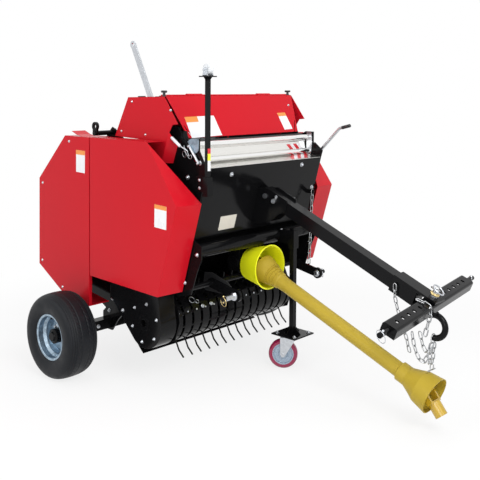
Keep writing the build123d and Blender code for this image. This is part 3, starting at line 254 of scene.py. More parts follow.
def finish_tree(name, colour, roughness, metallic=0.0, coat=0.0, vary=0.10, scale=6.0, grain=0.0,
                grain_scale=600.0, round_edges=0.0, specular=0.5, stretch=(1, 1, 1), cells=0.0,
                second=None, second_where=None):
    """A surface whose colour and roughness wander a little, with a fine grain in its normal.
    cells is the scale of zinc's spangle. second is the (colour, metallic) of another finish,
    where second_where's factor is 1."""
    material = bpy.data.materials.new(name)
    material.use_nodes = True
    tree = material.node_tree
    shader = tree.nodes["Principled BSDF"]
    shader.inputs["Metallic"].default_value = metallic
    shader.inputs["Coat Weight"].default_value = coat
    shader.inputs["Coat Roughness"].default_value = 0.06
    shader.inputs["Specular IOR Level"].default_value = specular
    place = tree.nodes.new("ShaderNodeTexCoord")
    spread = add_node(tree, "ShaderNodeMapping", Scale=stretch)
    tree.links.new(place.outputs["Object"], spread.inputs["Vector"])
    if cells:
        cloud = add_node(tree, "ShaderNodeTexVoronoi", Scale=cells)
        cloud_out = tree.nodes.new("ShaderNodeSeparateColor")
        tree.links.new(cloud.outputs["Color"], cloud_out.inputs["Color"])
        factor = cloud_out.outputs[0]
    else:
        cloud = add_node(tree, "ShaderNodeTexNoise", Scale=scale, Detail=5.0, Roughness=0.55)
        factor = cloud.outputs["Fac"]
    tree.links.new(spread.outputs["Vector"], cloud.inputs["Vector"])
    low = tuple(max(0.0, c * (1 - vary)) for c in colour)
    high = tuple(min(1.0, c * (1 + vary)) for c in colour)
    tree.links.new(mixed_colour(tree, factor, low, high), shader.inputs["Base Color"])
    spangle = 0.05 if cells else 0.22
    rough = add_node(tree, "ShaderNodeMapRange", From_Min=0.3, From_Max=0.7, To_Min=roughness * (1 - spangle),
                     To_Max=min(1.0, roughness * (1 + spangle)))
    tree.links.new(factor, rough.inputs["Value"])
    tree.links.new(rough.outputs["Result"], shader.inputs["Roughness"])
    if second:
        factor_socket = second_where(tree)
        base = shader.inputs["Base Color"].links[0].from_socket
        mix = tree.nodes.new("ShaderNodeMix")
        mix.data_type = "RGBA"
        tree.links.new(factor_socket, mix.inputs[0])
        tree.links.new(base, mix.inputs[6])
        mix.inputs[7].default_value = (*second[0], 1)
        tree.links.new(mix.outputs[2], shader.inputs["Base Color"])
        metal = add_node(tree, "ShaderNodeMapRange", To_Min=metallic, To_Max=second[1])
        tree.links.new(factor_socket, metal.inputs["Value"])
        tree.links.new(metal.outputs["Result"], shader.inputs["Metallic"])
    normal = None
    if round_edges:
        edge = add_node(tree, "ShaderNodeBevel", Radius=round_edges)
        edge.samples = 4
        normal = edge.outputs["Normal"]
    if grain:
        fine = add_node(tree, "ShaderNodeTexNoise", Scale=grain_scale, Detail=3.0)
        tree.links.new(spread.outputs["Vector"], fine.inputs["Vector"])
        bump = add_node(tree, "ShaderNodeBump", Strength=grain, Distance=0.0004)
        tree.links.new(fine.outputs["Fac"], bump.inputs["Height"])
        if normal:
            tree.links.new(normal, bump.inputs["Normal"])
        normal = bump.outputs["Normal"]
    if normal:
        tree.links.new(normal, shader.inputs["Normal"])
    materials[name] = material


def above_height(level):
    def factor(tree):
        place = tree.nodes.new("ShaderNodeTexCoord")
        split = tree.nodes.new("ShaderNodeSeparateXYZ")
        tree.links.new(place.outputs["Object"], split.inputs["Vector"])
        test = tree.nodes.new("ShaderNodeMath")
        test.operation = "GREATER_THAN"
        test.inputs[1].default_value = level * MM
        tree.links.new(split.outputs["Z"], test.inputs[0])
        return test.outputs["Value"]
    return factor


def near_axis(centre, axis, radius):
    """1 inside a radius round an axis, for a wheel whose middle has another finish than its tread."""
    def factor(tree):
        place = tree.nodes.new("ShaderNodeTexCoord")
        from_centre = tree.nodes.new("ShaderNodeVectorMath")
        from_centre.operation = "SUBTRACT"
        from_centre.inputs[1].default_value = at(*centre)
        tree.links.new(place.outputs["Object"], from_centre.inputs[0])
        cross = tree.nodes.new("ShaderNodeVectorMath")
        cross.operation = "CROSS_PRODUCT"
        cross.inputs[1].default_value = Vector(axis).normalized()
        tree.links.new(from_centre.outputs["Vector"], cross.inputs[0])
        length = tree.nodes.new("ShaderNodeVectorMath")
        length.operation = "LENGTH"
        tree.links.new(cross.outputs["Vector"], length.inputs[0])
        test = tree.nodes.new("ShaderNodeMath")
        test.operation = "LESS_THAN"
        test.inputs[1].default_value = radius * MM
        tree.links.new(length.outputs["Value"], test.inputs[0])
        return test.outputs["Value"]
    return factor


def make_materials():
    finish_tree("black_paint", (0.0048, 0.0048, 0.0053), 0.15, vary=0.25, grain=0.04, grain_scale=300,
                round_edges=0.0016, specular=0.12)
    finish_tree("pole_paint", (0.0048, 0.0048, 0.0053), 0.18, vary=0.25, grain=0.04, grain_scale=300,
                round_edges=0.0012, specular=0.14, second=((0.55, 0.58, 0.62), 0.2),
                second_where=above_height(1449))
    finish_tree("red_paint", (0.54, 0.007, 0.016), 0.22, vary=0.03, scale=2.5, grain=0.04,
                grain_scale=300, round_edges=0.002, specular=0.13)
    finish_tree("tyre", (0.0072, 0.0082, 0.0105), 0.48, vary=0.30, scale=30, grain=0.3, grain_scale=900,
                specular=0.20)
    finish_tree("zinc", (0.56, 0.58, 0.61), 0.30, metallic=1.0, vary=0.08, cells=130, grain=0.1,
                grain_scale=700, round_edges=0.0008)
    finish_tree("chain_zinc", (0.42, 0.43, 0.44), 0.26, metallic=1.0, vary=0.25, scale=90)
    finish_tree("rim_zinc", (0.33, 0.42, 0.50), 0.38, metallic=0.9, vary=0.25, cells=85, grain=0.2,
                grain_scale=600, round_edges=0.001)
    finish_tree("chrome", (0.90, 0.90, 0.89), 0.10, metallic=1.0, vary=0.03, scale=40, stretch=(1, 0.05, 1))
    finish_tree("stainless", (0.84, 0.83, 0.80), 0.24, metallic=1.0, vary=0.06, scale=90,
                stretch=(1, 0.03, 1), grain=0.1, grain_scale=400)
    finish_tree("black_plastic", (0.016, 0.016, 0.017), 0.5, vary=0.2, grain=0.3, grain_scale=900)
    finish_tree("lemon_plastic", (0.92, 0.95, 0.012), 0.34, vary=0.05, scale=4, grain=0.1,
                round_edges=0.001, specular=0.35)
    finish_tree("ochre_plastic", (0.43, 0.31, 0.030), 0.42, vary=0.10, scale=9, grain=0.2,
                grain_scale=300, round_edges=0.001, specular=0.20)
    finish_tree("yellow_paint", (0.50, 0.32, 0.018), 0.20, vary=0.20, scale=22, coat=0.5, grain=0.2,
                grain_scale=160, round_edges=0.0015)
    finish_tree("caster_tyre", (0.30, 0.010, 0.06), 0.26, vary=0.12, scale=12, coat=0.2, round_edges=0.001,
                second=((0.34, 0.42, 0.52), 0.3), second_where=near_axis((697.9, 123.1, 72), CASTER_AXIS, 53))
    finish_tree("white_nylon", (0.72, 0.74, 0.76), 0.36, vary=0.04, scale=10, grain=0.1)
    finish_tree("roller_steel", (0.012, 0.012, 0.013), 0.26, vary=0.3, scale=14, grain=0.2, specular=0.4)
    finish_tree("label_white", (0.80, 0.80, 0.82), 0.32, vary=0.03, scale=20, coat=0.3)
    finish_tree("label_grey", (0.66, 0.62, 0.54), 0.36, vary=0.05, scale=30)
    finish_tree("label_amber", (0.80, 0.27, 0.04), 0.32, vary=0.05, scale=20, coat=0.3)
    finish_tree("label_red", (0.62, 0.010, 0.02), 0.30, vary=0.05, scale=20, coat=0.4)
    finish_tree("label_yellow", (0.82, 0.80, 0.02), 0.30, vary=0.05, scale=20, coat=0.4)
    finish_tree("brass", (0.72, 0.56, 0.26), 0.28, metallic=1.0, vary=0.10, scale=60)


NODE_LOOKS = {"rim_right": "rim_zinc", "rim_left": "rim_zinc", "crank": "zinc", "spare_leg": "pole_paint"}


def paint_nodes():
    for entry in frame["record"]["subparts"]:
        node = nodes[entry["node"]]
        look = NODE_LOOKS.get(entry["node"], entry["material_slot"])
        node.data.materials.clear()
        node.data.materials.append(materials[look])


# Where small pieces land on the CAD's surfaces

def tree_of(name):
    if name not in trees:
        mesh = nodes[name].data
        trees[name] = BVHTree.FromPolygons([v.co for v in mesh.vertices],
                                           [tuple(p.vertices) for p in mesh.polygons])
    return trees[name]


def land(names, start, direction):
    """First point and outward normal on the named nodes, along a ray; lengths in the axle's millimetres."""
    direction = Vector(direction).normalized()
    origin = at(*start)
    best = None
    for name in names:
        place, normal, _, distance = tree_of(name).ray_cast(origin, direction)
        if place is not None and (best is None or distance < best[2]):
            best = (place, normal, distance)
    if best is None:
        return None
    place, normal, _ = best
    if normal.dot(direction) > 0:
        normal = -normal
    return back(place), normal.normalized()


def sight(px, py):
    """The camera's ray through a pixel of the photograph."""
    right, up, forward = camera_axes()
    focal = CAMERA_LENS / CAMERA_SENSOR * PHOTO_SIDE
    middle_y = PHOTO_SIDE / 2 + CAMERA_SHIFT_Y * PHOTO_SIDE
    return forward * focal + right * (px - PHOTO_SIDE / 2) + up * (middle_y - py)


def seen(names, px, py):
    """Where the photograph's pixel lies on the named nodes."""
    return land(names, back(CAMERA_PLACE), sight(px, py))


# Mesh building

class Piece:
    """Faces gathered in the axle's millimetres, made into one object that rides on a body."""

    def __init__(self, name, body, slot, look=None):
        self.name, self.body, self.slot, self.look = name, body, slot, look or slot
        self.points, self.faces = [], []

    def add(self, points, faces):
        base = len(self.points)
        self.points += [at(*p) for p in points]
        self.faces += [tuple(base + i for i in face) for face in faces]

    def grid(self, rings, closed_around=True, closed_along=False, caps=True):
        """Quads between rings of points; each ring has the same count."""
        count, across = len(rings), len(rings[0])
        faces = []
        for i in range(count if closed_along else count - 1):
            for j in range(across if closed_around else across - 1):
                a, b = i * across + j, i * across + (j + 1) % across
                c, d = ((i + 1) % count) * across + (j + 1) % across, ((i + 1) % count) * across + j
                faces.append((a, b, c, d))
        if caps and not closed_along:
            faces.append(tuple(reversed(range(across))))
            faces.append(tuple((count - 1) * across + j for j in range(across)))
        self.add([p for ring in rings for p in ring], faces)

    def done(self, sharp=35):
        mesh = bpy.data.meshes.new(self.name)
        mesh.from_pydata(self.points, [], self.faces)
        mesh.validate()
        mesh.update()
        for polygon in mesh.polygons:
            polygon.use_smooth = True
        mesh.set_sharp_from_angle(angle=math.radians(sharp))
        mesh.materials.append(materials[self.look])
        piece = bpy.data.objects.new(self.name, mesh)
        bpy.context.scene.collection.objects.link(piece)
        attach(piece, self.body)
        return piece


def square_to(axis):
    axis = Vector(axis).normalized()
    side = axis.orthogonal().normalized()
    return axis, side, axis.cross(side)


def lathe(piece, base, axis, profile, sides=24, turn=0.0):
    """A solid of revolution: profile holds (radius, distance along the axis)."""
    axis, side, other = square_to(axis)
    base = Vector(base)
    rings = []
    for radius, along in profile:
        rings.append([base + axis * along + (side * math.cos(a) + other * math.sin(a)) * max(radius, 0.01)
                      for a in (turn + 2 * math.pi * j / sides for j in range(sides))])
    piece.grid(rings)


def rod(piece, a, b, radius, sides=16, chamfer=0.6):
    a, b = Vector(a), Vector(b)
    length = (b - a).length
    lathe(piece, a, b - a, [(radius - chamfer, 0), (radius, chamfer), (radius, length - chamfer),
                            (radius - chamfer, length)], sides)


def wire(piece, path, radius, closed=False, sides=8):
    """A round wire along a list of points."""
    path = [Vector(p) for p in path]
    count = len(path)
    rings, normal = [], None
    for i in range(count):
        before = path[i - 1] if closed or i else path[0]
        after = path[(i + 1) % count] if closed or i < count - 1 else path[-1]
        tangent = (after - before).normalized()
        if normal is None:
            normal = tangent.orthogonal()
        normal = (normal - tangent * normal.dot(tangent)).normalized()
        other = tangent.cross(normal)
        rings.append([path[i] + (normal * math.cos(a) + other * math.sin(a)) * radius
                      for a in (2 * math.pi * j / sides for j in range(sides))])
    piece.grid(rings, closed_along=closed)


def circle(centre, axis, radius, steps=28, start=0.0, sweep=2 * math.pi):
    axis, side, other = square_to(axis)
    full = abs(sweep - 2 * math.pi) < 1e-6
    count = steps if full else steps + 1
    angles = [start + sweep * i / steps for i in range(count)]
    return [Vector(centre) + (side * math.cos(a) + other * math.sin(a)) * radius for a in angles]


def smooth_path(points, steps=6):
    """Catmull-Rom through the points."""
    points = [Vector(p) for p in points]
    ends = [points[0] * 2 - points[1]] + points + [points[-1] * 2 - points[-2]]
    out = []
    for i in range(1, len(ends) - 2):
        p0, p1, p2, p3 = ends[i - 1:i + 3]
        for k in range(steps):
            t = k / steps
            out.append(0.5 * ((2 * p1) + (p2 - p0) * t + (2 * p0 - 5 * p1 + 4 * p2 - p3) * t * t
                              + (3 * p1 - p0 - 3 * p2 + p3) * t * t * t))
    return out + [points[-1]]


def slab(piece, corners, thickness, normal=None):
    """A thin plate whose back is the corners' outline."""
    corners = [Vector(c) for c in corners]
    if normal is None:
        normal = (corners[1] - corners[0]).cross(corners[2] - corners[0]).normalized()
    count = len(corners)
    front = [c + normal * thickness for c in corners]
    faces = [tuple(range(count, 2 * count)), tuple(reversed(range(count)))]
    faces += [(i, (i + 1) % count, count + (i + 1) % count, count + i) for i in range(count)]
    piece.add(corners + front, faces)


def bolt(piece, place, normal, across=13.0, height=6.0, washer=True, dome=False):
    """A hexagon or domed head with its washer, standing on a surface."""
    place, normal = Vector(place), Vector(normal).normalized()
    base = 0.0
    if washer:
        lathe(piece, place, normal, [(across * 0.78, -0.6), (across * 0.78, 1.2), (across * 0.70, 1.8)], 20)
        base = 1.6
    corner = across / math.sqrt(3)
    if dome:
        lathe(piece, place, normal, [(corner, base), (corner * 0.98, base + height * 0.4),
                                     (corner * 0.78, base + height * 0.8),
                                     (corner * 0.35, base + height)], 20)
    else:
        lathe(piece, place, normal, [(corner, base), (corner, base + height * 0.8),
                                     (corner * 0.86, base + height)], 6, turn=0.3)
        lathe(piece, place, normal, [(across * 0.28, base + height - 0.5),
                                     (across * 0.28, base + height + 2.2),
                                     (across * 0.2, base + height + 2.8)], 12)


def seen_bolts(piece, names, pixels, across=13.0, height=6.0, **kind):
    for px, py in pixels:
        found = seen(names, px, py)
        if found:
            bolt(piece, *found, across=across, height=height, **kind)
        else:
            print("no surface for a bolt at", px, py)


def side_bolts(piece, names, spots, across=13.0, height=6.0, **kind):
    """Bolts on both sides of the machine, at (x, z)."""
    for side in (-1, 1):
        for x, z in spots:
            found = land(names, (x, side * 900, z), (0, -side, 0))
            if found:
                bolt(piece, *found, across=across, height=height, **kind)
            else:
                print("no surface for a bolt at", side, x, z)


def sticker(name, body, names, pixels, slot, look, thickness=0.5, lift=0.1):
    """A thin flat plate or film on the flat surface at the middle of the photograph's pixels."""
    count = len(pixels)
    found = seen(names, sum(p[0] for p in pixels) / count, sum(p[1] for p in pixels) / count)
    if found is None:
        print("no surface for", name)
        return
    middle, normal = found
    eye = back(CAMERA_PLACE)
    corners = []
    for px, py in pixels:
        ray = sight(px, py)
        corners.append(eye + ray * ((middle - eye).dot(normal) / ray.dot(normal)) + normal * lift)
    if (corners[1] - corners[0]).cross(corners[2] - corners[0]).dot(normal) < 0:
        corners.reverse()
    piece = Piece(name, body, slot, look)
    slab(piece, corners, thickness, normal)
    piece.done()


def part_way(a, b, share):
    return (a[0] + (b[0] - a[0]) * share, a[1] + (b[1] - a[1]) * share)


def banded_label(name, body, names, corners, share, band_slot, band_look, look="label_white", width=1.0):
    """A blank label with a plain coloured band at its top, over a share of its height and width.
    Corners: top left, top right, low right, low left."""
    left, right = part_way(corners[0], corners[3], share), part_way(corners[1], corners[2], share)
    band = [corners[0], part_way(corners[0], corners[1], width), part_way(left, right, width), left]
    sticker(name + "_band", body, names, band, band_slot, band_look, lift=0.7)
    sticker(name, body, names, corners, "white_nylon", look)


# Tyres

def tyre_point(share):
    """Radius and half width round the tyre's section, from one bead over the tread to the other."""
    spots = [(103, -57), (108, -66), (120, -76), (140, -81.5), (158, -82.3), (174, -80), (187, -73.5),
             (195.5, -62), (200.5, -44), (202.6, -22), (TYRE_R, 0)]
    line = spots + [(r, -a) for r, a in reversed(spots[:-1])]
    place = share * (len(line) - 1)
    index = min(int(place), len(line) - 2)
    t = place - index
    p = [line[max(0, min(len(line) - 1, index + k))] for k in (-1, 0, 1, 2)]
    out = []
    for axis in (0, 1):
        a, b, c, d = (q[axis] for q in p)
        out.append(0.5 * (2 * b + (c - a) * t + (2 * a - 5 * b + 4 * c - d) * t * t
                          + (3 * b - a - 3 * c + d) * t * t * t))
    return min(out[0], TYRE_R), max(-82.4, min(82.4, out[1]))


def groove(distance, half, depth):
    """Depth of a rounded groove at a distance from its middle."""
    if abs(distance) >= half:
        return 0.0
    return depth * (0.5 + 0.5 * math.cos(math.pi * distance / half))


def tread_cut(across, angle):
    """How far the tread is cut back: rings at the shoulders, shallow slanting cuts between them."""
    size = abs(across)
    cut = groove(size - 46, 3.4, 4.2) + groove(size - 56, 3.0, 3.6) + groove(size - 65.5, 2.6, 2.8)
    cut += groove(size - 20, 2.6, 2.4)
    if 23 < size < 44:
        slant = angle * TYRE_R + (across - 33 * math.copysign(1, across)) * 0.8
        pitch = 2 * math.pi * TYRE_R / 60
        off = (slant + pitch / 2) % pitch - pitch / 2
        cut += groove(off, 5.0, 1.8)
    return cut


def sidewall_rib(radius, across):
    """How far the sidewall's two fine rings stand out, short of its widest place."""
    if abs(across) > 82:
        return 0.0
    return groove(radius - 150, 2.0, 0.5) + groove(radius - 132, 1.6, 0.5)


def make_tyre(side, name):
    piece = Piece(name + "_tread", "wheel_" + name, "tyre")
    section = []
    for i in range(SECTION_STEPS + 1):
        section.append(tyre_point(i / SECTION_STEPS))
    rings = []
    for j in range(TYRE_STEPS):
        angle = 2 * math.pi * j / TYRE_STEPS
        ring = []
        for radius, across in section:
            if radius > TREAD_EDGE:
                radius -= tread_cut(across, angle)
            else:
                across += math.copysign(sidewall_rib(radius, across), across)
            ring.append((radius * math.cos(angle), side * TYRE_Y + across, TYRE_Z + radius * math.sin(angle)))
        rings.append(ring)
    piece.grid(rings, closed_around=False, closed_along=True, caps=False)
    tyre = piece.done(sharp=60)
    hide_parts("tyre_" + name)
    studs = Piece("wheel_nuts_" + name, "wheel_" + name, "zinc")
    outward = Vector((0, side, 0))
    for i in range(4):
        angle = math.radians(45 + 90 * i)
        found = land(["rim_" + name, "hub_" + name],
                     (47 * math.cos(angle), side * 900, TYRE_Z + 47 * math.sin(angle)), (0, -side, 0))
        if found:
            bolt(studs, found[0], outward, across=15, height=9)
    studs.done()
    valve = Piece("valve_" + name, "wheel_" + name, "black_plastic")
    start = (86 * math.cos(2.2), side * 900, TYRE_Z + 86 * math.sin(2.2))
    found = land(["rim_" + name], start, (0, -side, 0))
    if found:
        rod(valve, found[0], found[0] + outward * 22, 4.5, 12)
        rod(valve, found[0] + outward * 21, found[0] + outward * 29, 3.4, 10)
    valve.done()


# Chains

def link_loop(piece, centre, along, across, length, size=1.0):
    """A link of round wire, whose window runs along the chain."""
    half = length / 2 + LINK_WIRE / 2
    bend = (LINK_INNER / 2 + LINK_WIRE / 2) * size
    path = []
    for sign in (1, -1):
        for k in range(7):
            angle = math.pi * k / 6 - math.pi / 2
            path.append(centre + along * sign * (half - bend + bend * math.cos(angle))
                        + across * sign * bend * math.sin(angle))
    wire(piece, path, LINK_WIRE / 2 * size, closed=True, sides=8)


def chain(piece, points, across, size=1.15):
    line = [Vector(p) for p in points]
    spans = [(b - a).length for a, b in zip(line, line[1:])]
    total = sum(spans)
    count = math.ceil(total / (LINK_PITCH * max(1.0, size * 0.85)))

    def spot(distance):
        for (a, b), span in zip(zip(line, line[1:]), spans):
            if distance <= span + 1e-6:
                return a.lerp(b, distance / span)
            distance -= span
        return line[-1]

    knots = [spot(total * i / count) for i in range(count + 1)]
    for i in range(count):
        along = (knots[i + 1] - knots[i]).normalized()
        side = (across - along * across.dot(along)).normalized()
        if i % 2:
            side = along.cross(side)
        length = (knots[i + 1] - knots[i]).length + LINK_PLAY
        link_loop(piece, (knots[i] + knots[i + 1]) / 2, along, side, length, size)


def make_chains():
    forward, sideways = Vector((1, 0, 0)), Vector((0, 1, 0))
    piece = Piece("chain_links", "chassis", "zinc", "chain_zinc")
    peg = on_bar(808.7, 0, 8.0)
    hang = ((0, 0, 47), (2, 63, 47), (12, 113, 38), (26, 168, 26), (38, 228, 12), (46, 286, 0))
    chain(piece, [(peg.x + ahead, -y, peg.z - drop) for ahead, drop, y in hang], forward)
    hook = on_bar(PIN_U + 52.3, 0, -72.0)
    ring_x, ring_z = hook.x - 6, hook.z - 47.0 - 4.9
    wire(piece, [Vector((ring_x, 18 * math.cos(a), ring_z + 21 * math.sin(a)))
                 for a in (2 * math.pi * k / 28 for k in range(28))], LINK_WIRE / 2 + 0.2, closed=True)
    top = ring_z - 19 + LINK_PLAY / 2
    for y, drop in ((-11, 84), (11, 112)):
        chain(piece, [(ring_x, y, top), (ring_x - 12, y, top - drop)], forward)
    chain(piece, [(692.0, 356.0, 868.0), (674.0, 356.0, 479.0)], sideways)
    # Loops that hang back from the ring to under the crossbar
    for y, low, far, end_z in ((-22, 100, 74, 48), (0, 62, 58, 44)):
        loop = smooth_path([(ring_x - 2, y * 0.5, ring_z - 18),
                            (ring_x - 14, y, ring_z - low * 0.72),
                            (ring_x - 34, y * 1.3, ring_z - low),
                            (ring_x - far * 0.86, y * 1.5, ring_z - low * 0.5),
                            (ring_x - far - 4, y * 1.6, ring_z + end_z - 30)])
        chain(piece, loop, forward)
    # Toggle at the end of the longest strand
    wire(piece, [(ring_x - 12, -16, top - 114), (ring_x - 12, 38, top - 117)], 3.2, sides=10)
    links = piece.done(sharp=60)
    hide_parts("chains")
    # The strand that lies over the crossbar turns with it
    over = Piece("chain_over_crossbar", "crossbar", "zinc", "chain_zinc")
    path = [on_bar(PIN_U - 30, -80, 24.6), on_bar(PIN_U - 4, -76, 26.5), on_bar(PIN_U + 26, -72, 26.5),
            on_bar(PIN_U + 42, -70, 14), on_bar(PIN_U + 43, -69, -12)]
    low = path[-1]
    path += [Vector((low.x - 8, -68, low.z - 36)), Vector((low.x - 22, -66, low.z - 84))]
    chain(over, smooth_path(path, 5), sideways, 1.35)
    over.done(sharp=60)


# Clips and pins

def lynch_ring(name, body, centre, axis, radius, wire_radius=1.5, look="zinc", pin=None):
    piece = Piece(name, body, "zinc", look)
    wire(piece, circle(centre, axis, radius, 36), wire_radius, closed=True)
    if pin:
        rod(piece, pin[0], pin[1], pin[2], 12)
    piece.done(sharp=60)


def r_clip(piece, start, along, across, scale=1.0, radius=1.6):
    """A hairpin clip: a straight leg, an eye, and a waved leg."""
    start, along, across = Vector(start), Vector(along).normalized(), Vector(across).normalized()
    shape = [(0, 0), (20, 0), (40, 0), (46, 3), (49, 8), (46, 13), (41, 14), (37, 10), (38, 5),
             (34, 3.5), (26, 6.5), (18, 8.5), (10, 5), (4, 3.8), (-2, 6)]
    path = [start + along * a * scale + across * b * scale for a, b in shape]
    wire(piece, smooth_path(path, 5), radius, sides=8)


def make_clips():
    along = Vector((BAR_COS, 0, -BAR_SIN))
    up = Vector((BAR_SIN, 0, BAR_COS))
    clip = Piece("drawbar_clip", "chassis", "zinc")
    wire(clip, circle((775.4, -54.5, 858.9), (0, 1, 0), 9.5, 20), 1.8, closed=True)
    r_clip(clip, (772, -55.5, 852), (0.75, 0, 0.66), (-0.66, 0, 0.75), 0.9)
    clip.done(sharp=60)
    ring = Piece("hitch_pin_ring", "chassis", "zinc")
    top = on_bar(PIN_U, 0, 62)
    wire(ring, circle(top + up * 12 + along * 8, (0.85, 0.15, 0.9), 25, 32), 3.2, closed=True, sides=10)
    wire(ring, circle(top + up * 8 - along * 5, (0.2, 0.6, 0.9), 19, 28), 2.2, closed=True, sides=8)
    ring.done(sharp=60)
    collar = Piece("hitch_pin_collar", "chassis", "zinc", "brass")
    lathe(collar, on_bar(PIN_U, 0, 49), up, [(20, 0), (20, 4), (18, 6), (13.5, 7)], 28)
    collar.done()
    # Crossbar ends: the pins' linch rings
    for side in (-1, 1):
        end = on_bar(PIN_U - math.sin(CROSSBAR_SKEW) * CROSSBAR_PIN_Y * side,
                     side * math.cos(CROSSBAR_SKEW) * CROSSBAR_PIN_Y, 4)
        name = "near" if side < 0 else "far"
        axis = Vector((0.35, 1, 0.25)) if side < 0 else Vector((0.8, 1, -0.2))
        radius = 25 if side < 0 else 15
        lynch_ring("crossbar_ring_" + name, "crossbar", end - up * (radius - 13), axis, radius, 1.5,
                   pin=(end + up * 17, end - up * 19, 4.2))
    # Lower link pins: clip rings and the near pin's ball end
    near = Vector((730, -338, 440))
    lynch_ring("near_link_ring", "chassis", near + Vector((0, 0, -12)), (0.2, 1, 0.15), 21, 1.7, "brass",
               pin=((730, -338, 456), (730, -338, 422), 4.2))
    balls = Piece("link_pin_collars", "chassis", "zinc")
    lathe(balls, (730, -262, 440), (0, -1, 0), [(13, 0), (18, 3), (20, 9), (18, 15), (13, 18)], 24)
    lathe(balls, (730, -280, 440), (0, -1, 0), [(12.5, 0), (12.5, 50)], 24)
    lathe(balls, (730, 350, 440), (0, -1, 0), [(18, 0), (18, 3), (15, 4), (15, 9), (11, 12)], 24)
    lathe(balls, (730, 364, 440), (0, 1, 0), [(14, -2), (19, 0), (19, 6), (14, 9)], 24)
    balls.done()
    lynch_ring("far_link_ring", "chassis", (730, 397, 430), (0.9, 1, 0.1), 19, 1.6,
               pin=((730, 397, 456), (730, 397, 424), 4.0))
    # Hanging rings and clip ahead of the near side of the pickup
    hang = Piece("pickup_side_rings", "chassis", "zinc")
    for px, py, radius in ((191.5, 300.0, 15), (197.0, 301.5, 9)):
        found = seen(["pickup_side_right", "pickup_case", "pickup_bands", "side_plate_right"], px, py)
        if found:
            place, normal = found
            wire(hang, circle(place + normal * 2.2, normal, radius, 28), 1.5, closed=True)
    hang.done(sharp=60)


# Net box trim

def knob(piece, foot, reach, up=(0, 0, 1), across=(1, 0, 0)):
    """A wing knob on its stem."""
    foot, up, across = Vector(foot), Vector(up), Vector(across)
    rod(piece, foot, foot + up * (reach - 8), 6.5, 14)
    lathe(piece, foot, up, [(11, 0), (11, 6), (8, 9)], 18)
    top = foot + up * (reach - 5)
    rod(piece, top - across * 17, top + across * 17, 5.2, 14)


